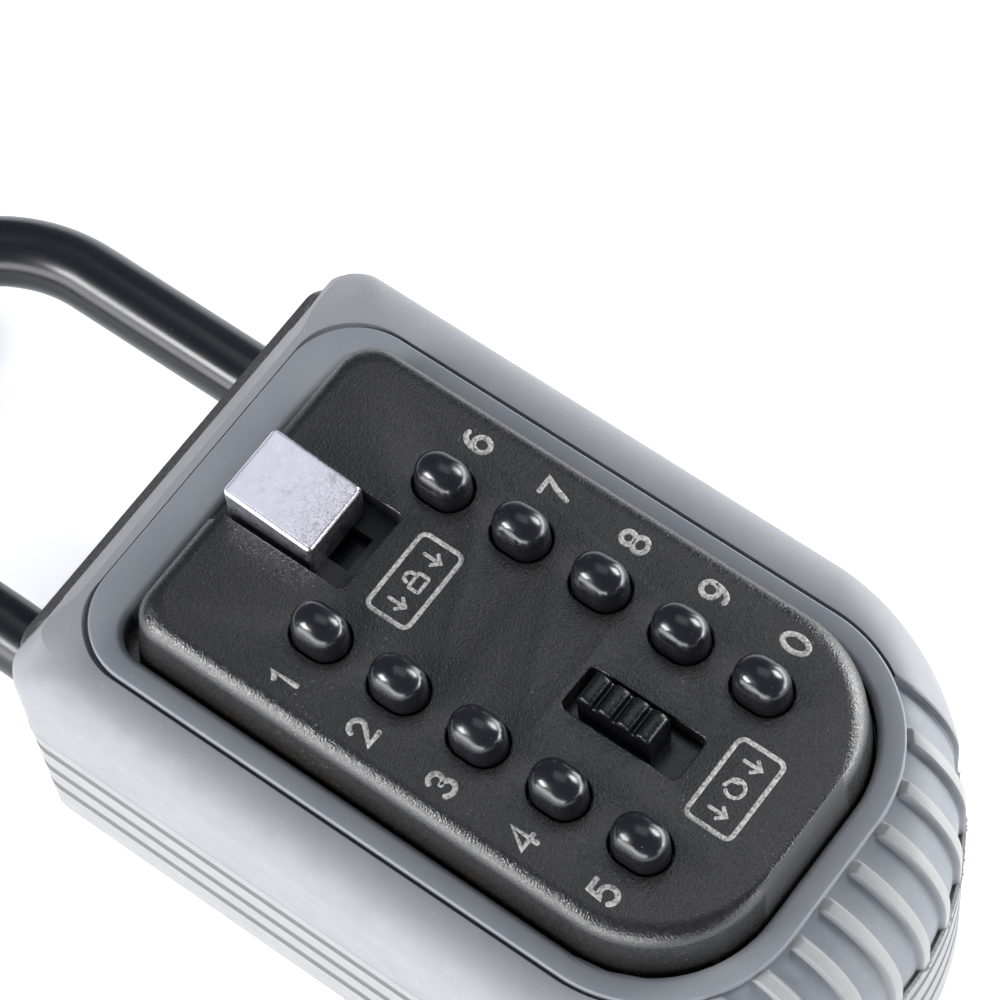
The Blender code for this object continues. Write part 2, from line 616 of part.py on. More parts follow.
def cover_shell():
    """The casting's outside: a drafted wall with a rolled edge round the keypad face."""
    rings = [cover_ring(COVER_DRAFT, COVER_FOOT_Z), cover_ring(0.0, PLATE_Z - COVER_EDGE)]
    edge_steps = 4
    for k in range(1, edge_steps + 1):
        angle = math.pi / 2.0 * k / edge_steps
        z = PLATE_Z - COVER_EDGE * (1.0 - math.sin(angle))
        rings.append(cover_ring(-COVER_EDGE * (1.0 - math.cos(angle)), z))
    return loft(rings)


def make_cover():
    cover = add_object("front_cover", cover_shell(), "black_zinc")
    inner = (COVER_HALF_WIDTH - COVER_WALL, COVER_TOP_Y - COVER_WALL, COVER_BOTTOM_Y + COVER_WALL,
             3.0 * MM, 14.3 * MM)
    weld_z = FACE_BACK_Z + 1.0 * MM
    above = 60.0 * MM
    cut(cover, "cover_hollow", shield_solid(*inner, 30.0 * MM, FACE_BACK_Z))
    weld_on(cover, "pocket_body",
            block(-8.2 * MM, 8.2 * MM, 23.6 * MM, COVER_TOP_Y - 1.0 * MM, POCKET_FLOOR_Z - 2.0 * MM, weld_z))
    weld_on(cover, "spring_rib", block(-4.0 * MM, 4.0 * MM, 19.6 * MM, 21.8 * MM, 37.6 * MM, weld_z))
    boss = [(36.9 * MM, SCREW_BOSS_R), (weld_z, SCREW_BOSS_R)]
    thread = [(35.0 * MM, THREAD_HOLE_R), (44.0 * MM, THREAD_HOLE_R)]
    for x, y in BACKPLATE_SCREWS:
        weld_on(cover, "screw_boss", turned((x, y, 0.0), "Z", boss, 14))
        cut(cover, "screw_thread", turned((x, y, 0.0), "Z", thread, 10))
    pocket = [rounded(-POCKET_HALF_WIDTH, POCKET_HALF_WIDTH, POCKET_FRONT_Y, above, 0.8 * MM, z)
              for z in (POCKET_FLOOR_Z, above)]
    cut(cover, "lever_pocket", loft(pocket))
    cut(cover, "lever_slot", block(-STEM_SLOT_X, STEM_SLOT_X, *STEM_SLOT_Y, 40.0 * MM, 48.0 * MM))
    slot = [rounded(-SLOT_HALF_WIDTH, SLOT_HALF_WIDTH, *SLOT_Y, 0.8 * MM, z) for z in (44.0 * MM, above)]
    cut(cover, "slider_slot", loft(slot))
    for digit, x, y in key_positions():
        hole = [stadium(x, y, KEY_HALF_WIDTH + KEY_HOLE_GAP, KEY_HALF_LENGTH + KEY_HOLE_GAP, z, 20)
                for z in (44.0 * MM, above)]
        cut(cover, "key_hole_%d" % digit, loft(hole))


def make_backplate():
    """The steel plate that closes the cover's back, with the two hooks that the cover swings on."""
    outline = (21.8 * MM, 43.3 * MM, -36.4 * MM, 3.0 * MM, 14.0 * MM)
    plate = add_object("mechanism_backplate", shield_solid(*outline, BACKPLATE_Z, BACKPLATE_TOP_Z), "steel")
    for side in (-1.0, 1.0):
        x0, x1 = sorted((side * HOOK_X[0], side * HOOK_X[1]))
        weld_on(plate, "hook_arm", block(x0, x1, -36.0 * MM, -34.5 * MM, BOLT_Z, BACKPLATE_TOP_Z - 0.5 * MM))
        weld_on(plate, "hook_toe", block(x0, x1, -40.4 * MM, -34.5 * MM, BOLT_Z, BOLT_Z + 2.0 * MM))
    through = (30.0 * MM, 40.0 * MM)
    for _, x, y in key_positions():
        cut(plate, "stem_hole", turned((x, y, 0.0), "Z", [(z, STEM_HOLE_R) for z in through], 12))
    slot_x = STEM_SLOT_X + 0.2 * MM
    cut(plate, "lever_stem_slot",
        block(-slot_x, slot_x, STEM_SLOT_Y[0], STEM_SLOT_Y[1] + 0.2 * MM, 34.0 * MM, 38.0 * MM))
    screw = [(33.7 * MM, 2.1 * MM), (34.8 * MM, 2.1 * MM),
             (34.8 * MM, SCREW_THREAD_R), (41.5 * MM, SCREW_THREAD_R)]
    for k, (x, y) in enumerate(BACKPLATE_SCREWS):
        cut(plate, "plate_hole", turned((x, y, 0.0), "Z", [(z, SCREW_HOLE_R) for z in through], 12))
        add_object("backplate_screw_%d" % (k + 1), turned((x, y, 0.0), "Z", screw, 12), "steel")


def make_keys():
    """Each key: a domed oval cap, a flange under the face and a stem, with a spring and a code dial."""
    shoulder = PLATE_Z + KEY_HEIGHT - KEY_SHOULDER_R
    for digit, x, y in key_positions():
        rings = [circle((x, y, GATE_Z), STEM_R, "Z", 16), circle((x, y, FLANGE_BOTTOM_Z), STEM_R, "Z", 16)]
        for z in (FLANGE_BOTTOM_Z, FLANGE_TOP_Z):
            rings.append(stadium(x, y, KEY_HALF_WIDTH + FLANGE_OVER, KEY_HALF_LENGTH + FLANGE_OVER, z))
        for z in (FLANGE_TOP_Z, shoulder):
            rings.append(stadium(x, y, KEY_HALF_WIDTH, KEY_HALF_LENGTH, z))
        for turn in (40, 80):
            pull = KEY_SHOULDER_R * (1.0 - math.cos(math.radians(turn)))
            rise = KEY_SHOULDER_R * math.sin(math.radians(turn))
            rings.append(stadium(x, y, KEY_HALF_WIDTH - pull, KEY_HALF_LENGTH - pull, shoulder + rise))
        add_object("push_button_%d" % digit, loft(rings), "key_plastic", (x, y, PLATE_Z))
        spring_z = (BACKPLATE_TOP_Z + 0.1 * MM, FLANGE_BOTTOM_Z - 0.1 * MM)
        add_object("button_spring_%d" % digit, coil((x, y, 0.0), "Z", *spring_z, *KEY_SPRING), "spring_steel",
                   (x, y, BACKPLATE_TOP_Z))
        make_code_dial(digit, x, y)


def make_code_dial(digit, x, y):
    disc = [(DIAL_Z, DIAL_R - 0.4 * MM), (DIAL_Z + 0.4 * MM, DIAL_R), (DIAL_TOP_Z, DIAL_R)]
    dial = add_object("code_dial_%d" % digit, turned((x, y, 0.0), "Z", disc, 16), "brass", (x, y, DIAL_TOP_Z))
    reach = 4.0 * MM
    slot = block(x - 0.45 * MM, x + 0.45 * MM, y - reach, y + reach, DIAL_Z - 1.0 * MM, DIAL_Z + 0.9 * MM)
    cut(dial, "dial_slot_%d" % digit, slot)


def make_lever():
    """The thumb block, with its stem down to the gate plate and the shield under its slot."""
    low = rounded(-LEVER_HALF_WIDTH, LEVER_HALF_WIDTH, LEVER_FRONT_Y, LEVER_BACK_Y, 0.6 * MM,
                  POCKET_FLOOR_Z + 0.2 * MM, 2)
    slope = (LEVER_BACK_TOP_Z - LEVER_FRONT_TOP_Z) / (LEVER_BACK_Y - LEVER_FRONT_Y)
    bevel = 0.5 * MM
    high = [(x, y, LEVER_FRONT_TOP_Z - bevel + slope * (y - LEVER_FRONT_Y)) for x, y, _ in low]
    middle_y = (LEVER_FRONT_Y + LEVER_BACK_Y) / 2.0
    top = []
    for x, y, z in high:
        nx = x - math.copysign(bevel, x)
        ny = y - math.copysign(bevel, y - middle_y)
        top.append((nx, ny, z + bevel))
    lever = add_object("open_lever", loft([low, high, top]), "nickel", (0.0, LEVER_BACK_Y, POCKET_FLOOR_Z))
    weld_on(lever, "lever_stem",
            block(-LEVER_STEM_X, LEVER_STEM_X, *LEVER_STEM_Y, GATE_TOP_Z + GAP, 48.0 * MM))
    shield_x = STEM_SLOT_X + 1.0 * MM
    weld_on(lever, "slot_shield", block(-shield_x, shield_x, SHIELD_FRONT_Y, LEVER_STEM_Y[1], *SHIELD_Z))
    spring_at = (0.0, 0.0, LEVER_SPRING_Z)
    add_object("lever_spring", coil(spring_at, "Y", *LEVER_SPRING_Y, *LEVER_SPRING), "spring_steel",
               (0.0, LEVER_SPRING_Y[0], LEVER_SPRING_Z))


def make_gate_and_bolt():
    """The slotted plate that the keys' stems hold or free, and the bolt that it draws."""
    outline = [rounded(-16.6 * MM, 16.6 * MM, -28.4 * MM, 41.0 * MM, 2.0 * MM, z, 2)
               for z in (GATE_Z, GATE_TOP_Z)]
    gate = add_object("gate_plate", loft(outline), "steel", (0.0, 0.0, GATE_Z))
    room = STEM_HOLE_R
    for _, x, y in key_positions():
        hole = [rounded(x - room, x + room, y - room, y + LEVER_TRAVEL + room, 1.8 * MM, z, 2)
                for z in (GATE_Z - 1.0 * MM, GATE_TOP_Z + 1.0 * MM)]
        cut(gate, "gate_hole", loft(hole))
    tail_y = 34.0 * MM
    nose_y = 49.8 * MM
    bolt = [(tail_y, BOLT_Z), (nose_y - 1.2 * MM, BOLT_Z), (nose_y, BOLT_Z + 1.0 * MM), (nose_y, BOLT_TOP_Z),
            (tail_y, BOLT_TOP_Z)]
    add_object("latch_bolt", loft([[(x, y, z) for y, z in bolt] for x in (-6.0 * MM, 6.0 * MM)]), "steel",
               (0.0, tail_y, BOLT_Z))


def make_slider():
    """The clear slider: a ridged thumb block on a foot that always covers the slot."""
    y0, y1 = SLIDER_Y
    foot_y0, foot_y1 = SLIDER_FOOT_Y
    foot = [rounded(-4.4 * MM, 4.4 * MM, foot_y0, foot_y1, 0.8 * MM, z, 2)
            for z in (FLANGE_BOTTOM_Z, FLANGE_TOP_Z)]
    slider = add_object("clear_slider", loft(foot), "key_plastic", (0.0, y1, FLANGE_TOP_Z))
    base = [rounded(-SLIDER_HALF_WIDTH, SLIDER_HALF_WIDTH, y0, y1, 1.0 * MM, z)
            for z in (46.0 * MM, SLIDER_TOP_Z)]
    weld_on(slider, "slider_block", loft(base))
    step = (y1 - y0) / (SLIDER_RIDGES - SLIDER_GROOVE_SHARE)
    groove_z = SLIDER_TOP_Z - SLIDER_GROOVE_DEPTH
    for k in range(SLIDER_RIDGES - 1):
        groove_y1 = y1 - step * (k + 1.0 - SLIDER_GROOVE_SHARE)
        groove_y0 = groove_y1 - step * SLIDER_GROOVE_SHARE
        cut(slider, "slider_groove", block(-5.0 * MM, 5.0 * MM, groove_y0, groove_y1, groove_z, 60.0 * MM))
    lug_y = (foot_y0 + 0.1 * MM, foot_y0 + 1.6 * MM)
    weld_on(slider, "spring_lug", block(-2.0 * MM, 2.0 * MM, *lug_y, 42.0 * MM, FLANGE_BOTTOM_Z + 1.0 * MM))
    spring_at = (0.0, 0.0, CLEAR_SPRING_Z)
    add_object("clear_spring", coil(spring_at, "Y", CLEAR_SPRING_Y, foot_y0 - 0.1 * MM, *CLEAR_SPRING),
               "spring_steel", (0.0, CLEAR_SPRING_Y, CLEAR_SPRING_Z))


remove_everything()
make_boot()
make_case()
make_shackle()
make_release_latch()
make_latch_bridge()
make_cover()
make_backplate()
make_keys()
make_lever()
make_gate_and_bolt()
make_slider()
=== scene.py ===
"""Looks of the key lock box: fine meshes, materials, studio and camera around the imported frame.

Row frame: the box lies on its back on z = 0, +Z points out of the keypad, +Y towards the shackle,
and +X is on the right when the keypad is read upright. All sizes are in metres.
"""

import math
import random

import bmesh
import bpy
from mathutils import Matrix, Vector


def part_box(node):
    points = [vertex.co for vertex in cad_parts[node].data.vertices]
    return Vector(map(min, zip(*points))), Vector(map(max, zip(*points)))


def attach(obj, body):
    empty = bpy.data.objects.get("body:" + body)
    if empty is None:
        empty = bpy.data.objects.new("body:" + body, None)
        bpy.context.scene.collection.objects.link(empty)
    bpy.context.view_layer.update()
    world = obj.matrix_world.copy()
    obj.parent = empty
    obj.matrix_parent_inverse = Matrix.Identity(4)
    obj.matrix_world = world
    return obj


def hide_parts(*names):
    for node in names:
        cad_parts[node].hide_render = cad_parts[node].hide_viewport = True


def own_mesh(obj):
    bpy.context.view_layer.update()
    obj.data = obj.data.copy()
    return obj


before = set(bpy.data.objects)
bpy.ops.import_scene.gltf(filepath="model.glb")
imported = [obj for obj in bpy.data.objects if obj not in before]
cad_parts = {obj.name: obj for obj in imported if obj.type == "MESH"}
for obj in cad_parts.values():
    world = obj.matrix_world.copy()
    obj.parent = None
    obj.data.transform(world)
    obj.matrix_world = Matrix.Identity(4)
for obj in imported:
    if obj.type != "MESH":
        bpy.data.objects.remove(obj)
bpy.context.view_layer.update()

MM = 0.001
DIGITS = range(10)

# ---- sizes that the frame gives ------------------------------------------------------------------
cover_low, cover_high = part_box("front_cover")
boot_low, boot_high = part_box("rubber_boot")
case_low, case_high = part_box("rear_case")
PLATE_Z = cover_high.z
BOOT_HALF_WIDTH = boot_high.x
BOOT_TOP_Y = boot_high.y
BOOT_BOTTOM_Y = boot_low.y
BEAD_Z = boot_high.z
CASE_TOP_Y = case_high.y

# ---- outlines that the boot, the case and the cover share: half width, y at the shackle end,
# y at the far end, corner radius at the shackle end, corner radius at the far end
BEAD_INNER = (26.2 * MM, 49.3 * MM, -40.4 * MM, 5.5 * MM, 17.5 * MM)
BEAD_OUTER = (28.9 * MM, 54.3 * MM, -43.3 * MM, 10.0 * MM, 20.0 * MM)
SHOULDER_Z = BEAD_Z - 0.5 * MM
PARTING_Z = 24.0 * MM
SIDE_DROP = 5.5 * MM
FAR_DROP = 14.0 * MM
SHACKLE_END_DROP = 3.6 * MM
SHACKLE_END_CREASE = 0.31        # level of the shoulder's rings that carries the crisp edge there
SHACKLE_END_CHAMFER = 2.9 * MM   # width of the chamfer outside that edge
TREAD_HALF_WIDTH = 26.4 * MM
TREAD_DEPTH = 1.2 * MM
RIB_PITCH = 6.0 * MM
RIB_X = [RIB_PITCH * (k - 3.5) for k in range(8)]
RIB_HALF = 1.0 * MM
RIB_START = 1.05 * MM            # the ribs start this far outside the bead
GRIP_GROOVES_Z = (20.0 * MM, 14.0 * MM, 8.2 * MM)
GRIP_GROOVE_DEPTH = 1.6 * MM


# ---- small tools ---------------------------------------------------------------------------------
def mix(a, b, share):
    return a + (b - a) * share


def smooth(value, low, high):
    share = min(max((value - low) / (high - low), 0.0), 1.0)
    return share * share * (3.0 - 2.0 * share)


def mesh_object(name, vertices, faces, sharp=35.0):
    mesh = bpy.data.meshes.new(name)
    mesh.from_pydata([tuple(v) for v in vertices], [], faces)
    mesh.validate()
    tidy = bmesh.new()
    tidy.from_mesh(mesh)
    bmesh.ops.recalc_face_normals(tidy, faces=tidy.faces)
    tidy.to_mesh(mesh)
    tidy.free()
    item = bpy.data.objects.new(name, mesh)
    bpy.context.scene.collection.objects.link(item)
    shade(item, sharp)
    return item


def shade(item, sharp=35.0):
    item.data.shade_smooth()
    item.data.set_sharp_from_angle(angle=math.radians(sharp))


def loft(rings, close=False):
    """Vertices and faces of a skin through rings of equal counts, capped unless it closes on itself."""
    count = len(rings[0])
    vertices = [point for ring in rings for point in ring]
    faces = []
    levels = len(rings) if close else len(rings) - 1
    for level in range(levels):
        low = level * count
        high = (level + 1) % len(rings) * count
        for i in range(count):
            j = (i + 1) % count
            faces.append((low + i, low + j, high + j, high + i))
    if not close:
        last = (len(rings) - 1) * count
        faces.append(tuple(range(count)))
        faces.append(tuple(range(last + count - 1, last - 1, -1)))
    return vertices, faces


def applied(item, sharp=35.0):
    """Turn the item's modifiers into plain mesh."""
    bpy.context.view_layer.update()
    graph = bpy.context.evaluated_depsgraph_get()
    mesh = bpy.data.meshes.new_from_object(item.evaluated_get(graph))
    item.modifiers.clear()
    item.data = mesh
    shade(item, sharp)
    return item


def carved(item, steps, sharp=35.0):
    """Cut or join solids in order: steps are (operation, (vertices, faces))."""
    tools = []
    for number, (operation, solid) in enumerate(steps):
        tool = mesh_object("%s_tool_%d" % (item.name, number), *solid)
        modifier = item.modifiers.new("step_%d" % number, "BOOLEAN")
        modifier.operation = operation
        modifier.solver = "EXACT"
        modifier.object = tool
        tools.append(tool)
    applied(item, sharp)
    for tool in tools:
        bpy.data.objects.remove(tool, do_unlink=True)
    return item


def bevelled(item, width, segments=3, angle=40.0, sharp=50.0):
    """Break a piece's edges; faces much wider than the bevel stay flat shaded."""
    modifier = item.modifiers.new("edges", "BEVEL")
    modifier.width = width
    modifier.segments = segments
    modifier.limit_method = "ANGLE"
    modifier.angle_limit = math.radians(angle)
    modifier.use_clamp_overlap = True
    applied(item, sharp)
    for face in item.data.polygons:
        if face.area > (6.0 * width) ** 2:
            face.use_smooth = False
    return item


def placed(item, body, material, nodes=()):
    """Give a piece its material, the body it rides on and the CAD nodes it stands for."""
    item.data.materials.clear()
    item.data.materials.append(material)
    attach(item, body)
    if nodes:
        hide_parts(*nodes)
    return item


def block(x0, x1, y0, y1, z0, z1):
    low = [(x0, y0, z0), (x1, y0, z0), (x1, y1, z0), (x0, y1, z0)]
    return loft([low, [(x, y, z1) for x, y, _ in low]])


def circle(centre, radius, axis, sides=48):
    points = []
    for i in range(sides):
        angle = 2.0 * math.pi * i / sides
        a = radius * math.cos(angle)
        b = radius * math.sin(angle)
        offset = {"X": (0.0, a, b), "Y": (b, 0.0, a), "Z": (a, b, 0.0)}[axis]
        points.append(tuple(c + o for c, o in zip(centre, offset)))
    return points


def turned(centre, axis, profile, sides=48):
    """Solid of revolution from (distance along the axis, radius) pairs."""
    rings = []
    for along, radius in profile:
        shift = {"X": (along, 0.0, 0.0), "Y": (0.0, along, 0.0), "Z": (0.0, 0.0, along)}[axis]
        rings.append(circle(tuple(c + s for c, s in zip(centre, shift)), radius, axis, sides))
    return loft(rings)


def column(x, y, z0, z1, radius, sides=24):
    """Vertical cylinder."""
    return turned((x, y, 0.0), "Z", [(z0, radius), (z1, radius)], sides)


def rounded(x0, x1, y0, y1, radius, z, steps=6):
    """Rectangle with round corners, as a ring."""
    points = []
    for quarter, (x, y) in enumerate(((x1, y1), (x0, y1), (x0, y0), (x1, y0))):
        cx = x - radius if quarter in (0, 3) else x + radius
        cy = y - radius if quarter in (0, 1) else y + radius
        for i in range(steps + 1):
            angle = math.pi / 2.0 * (quarter + i / steps)
            points.append((cx + radius * math.cos(angle), cy + radius * math.sin(angle), z))
    return points


def stadium(cx, cy, half_width, half_length, z, sides=56):
    straight = half_length - half_width
    points = []
    for i in range(sides):
        angle = 2.0 * math.pi * (i + 0.5) / sides
        shift = straight if math.sin(angle) > 0.0 else -straight
        points.append((cx + half_width * math.cos(angle), cy + half_width * math.sin(angle) + shift, z))
    return points


def shield(outline, z, top_steps=14, bottom_steps=32):
    """The cover's outline: small corners at the shackle end, large ones at the far end."""
    half_width, y_top, y_bottom, r_top, r_bottom = outline
    corners = (
        (half_width - r_top, y_top - r_top, r_top, top_steps),
        (-half_width + r_top, y_top - r_top, r_top, top_steps),
        (-half_width + r_bottom, y_bottom + r_bottom, r_bottom, bottom_steps),
        (half_width - r_bottom, y_bottom + r_bottom, r_bottom, bottom_steps),
    )
    points = []
    for quarter, (cx, cy, radius, steps) in enumerate(corners):
        for i in range(steps + 1):
            angle = math.pi / 2.0 * (quarter + i / steps)
            points.append((cx + radius * math.cos(angle), cy + radius * math.sin(angle), z))
    return points


def grown(outline, by):
    half_width, y_top, y_bottom, r_top, r_bottom = outline
    return (half_width + by, y_top + by, y_bottom - by, r_top + by, r_bottom + by)


# ---- materials -----------------------------------------------------------------------------------
class Paint:
    """A Principled material with a few helpers for procedural detail in object space."""

    def __init__(self, name, colour, roughness, metallic=0.0):
        self.material = bpy.data.materials.new(name)
        self.material.use_nodes = True
        self.tree = self.material.node_tree
        self.shader = self.tree.nodes["Principled BSDF"]
        self.shader.inputs["Base Color"].default_value = (*colour, 1.0)
        self.shader.inputs["Roughness"].default_value = roughness
        self.shader.inputs["Metallic"].default_value = metallic
        self.place = self.tree.nodes.new("ShaderNodeTexCoord").outputs["Object"]
        self.bumped = None

    def link(self, output, socket):
        self.tree.links.new(output, socket)

    def noise(self, size, detail=2.0, roughness=0.5, stretch=None):
        """Noise whose features are about size metres across; stretch scales it per axis."""
        node = self.tree.nodes.new("ShaderNodeTexNoise")
        node.inputs["Scale"].default_value = 1.0 / size
        node.inputs["Detail"].default_value = detail
        node.inputs["Roughness"].default_value = roughness
        place = self.place
        if stretch is not None:
            mapping = self.tree.nodes.new("ShaderNodeMapping")
            mapping.inputs["Scale"].default_value = stretch
            self.link(place, mapping.inputs["Vector"])
            place = mapping.outputs["Vector"]
        self.link(place, node.inputs["Vector"])
        return node.outputs["Fac"]

    def along(self, axis):
        """The place along one axis, in metres."""
        node = self.tree.nodes.new("ShaderNodeSeparateXYZ")
        self.link(self.place, node.inputs["Vector"])
        return node.outputs[axis]

    def attribute(self, name):
        node = self.tree.nodes.new("ShaderNodeAttribute")
        node.attribute_name = name
        return node.outputs["Fac"]

    def ramp(self, value, stops):
        """Colour ramp through (position, colour or grey) stops."""
        node = self.tree.nodes.new("ShaderNodeValToRGB")
        elements = node.color_ramp.elements
        while len(elements) < len(stops):
            elements.new(0.5)
        for element, (position, colour) in zip(elements, stops):
            element.position = position
            element.color = (colour, colour, colour, 1.0) if isinstance(colour, float) else (*colour, 1.0)
        self.link(value, node.inputs["Fac"])
        return node.outputs["Color"]

    def maths(self, operation, a, b):
        node = self.tree.nodes.new("ShaderNodeMath")
        node.operation = operation
        for socket, value in zip(node.inputs, (a, b)):
            if isinstance(value, (int, float)):
                socket.default_value = value
            else:
                self.link(value, socket)
        return node.outputs["Value"]

    def blend(self, share, a, b, how="MIX"):
        """Mix two colours; share is a number or an output, a and b are colours or outputs."""
        node = self.tree.nodes.new("ShaderNodeMix")
        node.data_type = "RGBA"
        node.blend_type = how
        for socket, value in ((node.inputs[0], share), (node.inputs[6], a), (node.inputs[7], b)):
            if isinstance(value, tuple):
                socket.default_value = (*value, 1.0)
            elif isinstance(value, (int, float)):
                socket.default_value = value
            else:
                self.link(value, socket)
        return node.outputs[2]

    def colour(self, output):
        self.link(output, self.shader.inputs["Base Color"])

    def rough(self, output):
        self.link(output, self.shader.inputs["Roughness"])

    def bump(self, height, distance, strength=1.0):
        """Add a layer of bump; distance is the height in metres that 1 stands for."""
        node = self.tree.nodes.new("ShaderNodeBump")
        node.inputs["Strength"].default_value = strength
        node.inputs["Distance"].default_value = distance
        self.link(height, node.inputs["Height"])
        if self.bumped is not None:
            self.link(self.bumped, node.inputs["Normal"])
        self.bumped = node.outputs["Normal"]
        self.link(self.bumped, self.shader.inputs["Normal"])


def rubber_material():
    """Matte blue-grey rubber: cooler in the valleys, warmer and dusty on raised edges."""
    paint = Paint("boot_rubber", (0.24, 0.27, 0.31), 0.55)
    cloudy = paint.noise(9 * MM, 4.0, 0.6)
    base = paint.ramp(cloudy, [(0.3, (0.196, 0.209, 0.228)), (0.7, (0.220, 0.232, 0.248))])
    raised = paint.attribute("raised")
    warm = paint.blend(raised, base, (0.345, 0.342, 0.332))
    specks = paint.ramp(paint.noise(0.5 * MM, 2.0), [(0.68, 0.0), (0.74, 1.0)])
    paint.colour(paint.blend(paint.maths("MULTIPLY", specks, 0.25), warm, (0.5, 0.5, 0.49)))
    paint.rough(paint.ramp(paint.noise(3 * MM, 3.0), [(0.3, 0.48), (0.7, 0.62)]))
    paint.bump(paint.noise(0.25 * MM, 2.0), 0.012 * MM)
    paint.bump(paint.noise(4 * MM, 2.0), 0.05 * MM)
    return paint.material


def powder_material(name, colour, light, grain, height, shade_recesses=False):
    """Textured powder coat: pebbled, with small pale specks where it has rubbed.

    The last argument says that the piece stores which points lie outside its recesses; the recesses get
    painted shade, darker and duller.
    """
    paint = Paint(name, colour, 0.32)
    paint.shader.inputs["Specular IOR Level"].default_value = 0.85
    patches = paint.noise(14 * MM, 3.0)
    base = paint.ramp(patches, [(0.3, colour), (0.7, tuple(c * 1.25 for c in colour))])
    specks = paint.ramp(paint.noise(0.45 * MM, 1.0), [(0.70, 0.0), (0.76, 1.0)])
    dusty = paint.ramp(paint.noise(11 * MM, 2.0), [(0.45, 0.0), (0.7, 0.55)])
    coat = paint.blend(paint.maths("MULTIPLY", specks, dusty), base, light)
    satin = paint.ramp(paint.noise(0.8 * MM, 2.0), [(0.3, 0.22), (0.7, 0.33)])
    # Painted shade: in the recesses the coat's colour drops to 0.15 of the piece's colour, and it is rougher
    # there.
    if shade_recesses:
        outside = paint.attribute("raised")
        coat = paint.blend(outside, tuple(c * 0.15 for c in colour), coat)
        satin = paint.blend(outside, (0.65, 0.65, 0.65), satin)
    paint.colour(coat)
    paint.rough(satin)
    paint.bump(paint.noise(grain * MM, 1.0, 0.4), height * MM)
    return paint.material


def button_material():
    """Glossy black plastic with a blue cast, a little dust and faint rub marks."""
    paint = Paint("button_plastic", (0.009, 0.009, 0.012), 0.16)
    dust = paint.ramp(paint.noise(0.35 * MM, 1.0), [(0.76, 0.0), (0.79, 1.0)])
    paint.colour(paint.blend(paint.maths("MULTIPLY", dust, 0.5), (0.009, 0.009, 0.012), (0.20, 0.20, 0.22)))
    paint.rough(paint.ramp(paint.noise(1.6 * MM, 4.0), [(0.35, 0.17), (0.7, 0.28)]))
    paint.bump(paint.noise(0.9 * MM, 3.0), 0.004 * MM)
    paint.shader.inputs["Specular IOR Level"].default_value = 0.6
    return paint.material


def slider_material():
    """Black plastic, darker than the buttons' partly as painted shade for its foot down in the slot, scuffed
    by fingernails: rough, pale flecks on the ridge tops.
    """
    # Painted shade in part: the base colour is set darker than the buttons' plastic, for the shaded foot in
    # the slot.
    paint = Paint("slider_plastic", (0.004, 0.004, 0.005), 0.2)
    worn = paint.attribute("raised")
    flecks = paint.ramp(paint.noise(0.30 * MM, 3.0, 0.7), [(0.60, 0.0), (0.72, 1.0)])
    share = paint.maths("MULTIPLY", flecks, worn)
    paint.colour(paint.blend(share, (0.004, 0.004, 0.005), (0.085, 0.09, 0.095)))
    paint.rough(paint.ramp(paint.noise(0.5 * MM, 3.0), [(0.3, 0.16), (0.7, 0.34)]))
    paint.bump(paint.maths("MULTIPLY", paint.noise(0.30 * MM, 3.0, 0.7), worn), 0.05 * MM)
    return paint.material


def nickel_material():
    """Satin nickel plate with fine pits, a stained patch and faint wiping marks."""
    paint = Paint("nickel_plate", (0.66, 0.64, 0.69), 0.3, 1.0)
    grain = paint.ramp(paint.noise(0.16 * MM, 3.0, 0.7), [(0.35, 0.0), (0.65, 1.0)])
    plate = paint.blend(grain, (0.70, 0.68, 0.755), (0.80, 0.78, 0.86))
    near_end = paint.ramp(paint.along("Y"), [(0.0312, 1.0), (0.0385, 0.0)])
    freckles = paint.ramp(paint.noise(0.30 * MM, 3.0, 0.7), [(0.47, 0.0), (0.60, 1.0)])
    freckles = paint.maths("MULTIPLY", freckles, near_end)
    plate = paint.blend(paint.maths("MULTIPLY", freckles, 0.75), plate, (0.34, 0.30, 0.28))
    smudge = paint.ramp(paint.noise(2.6 * MM, 5.0, 0.7), [(0.60, 0.0), (0.70, 1.0)])
    plate = paint.blend(paint.maths("MULTIPLY", smudge, 0.45), plate, (0.33, 0.30, 0.31))
    paint.colour(plate)
    paint.rough(paint.ramp(paint.noise(1.1 * MM, 4.0, 0.6), [(0.3, 0.25), (0.7, 0.36)]))
    paint.bump(grain, 0.0016 * MM)
    return paint.material


def steel_material(name, colour, roughness, grain):
    """Metal with drawing or rolling marks; grain stretches them per axis."""
    paint = Paint(name, colour, roughness, 1.0)
    dull = tuple(c * 0.82 for c in colour)
    paint.colour(paint.ramp(paint.noise(5 * MM, 4.0), [(0.3, dull), (0.7, colour)]))
    paint.rough(paint.ramp(paint.noise(0.6 * MM, 3.0, stretch=grain),
                           [(0.3, roughness * 0.75), (0.7, roughness * 1.3)]))
    paint.bump(paint.noise(0.4 * MM, 2.0, stretch=grain), 0.006 * MM)
    return paint.material


def coated_material():
    """The shackle's glossy black coat, with a little orange peel and handling dust."""
    paint = Paint("black_coating", (0.007, 0.007, 0.009), 0.26)
    dust = paint.ramp(paint.noise(0.5 * MM, 1.0), [(0.76, 0.0), (0.80, 1.0)])
    paint.colour(paint.blend(paint.maths("MULTIPLY", dust, 0.3), (0.008, 0.008, 0.011), (0.15, 0.15, 0.16)))
    paint.rough(paint.ramp(paint.noise(6 * MM, 3.0), [(0.3, 0.24), (0.7, 0.29)]))
    paint.shader.inputs["Specular IOR Level"].default_value = 0.5
    return paint.material


def print_material():
    """Pale grey paint in the digits and frames, broken up by the coat under it."""
    paint = Paint("marking_paint", (0.42, 0.41, 0.39), 0.6)
    patches = paint.noise(0.42 * MM, 3.0, 0.65)
    paint.colour(paint.ramp(patches, [(0.34, (0.10, 0.095, 0.09)), (0.46, (0.36, 0.35, 0.33)),
                                      (0.70, (0.62, 0.61, 0.57))]))
    paint.bump(patches, 0.03 * MM)
    return paint.material


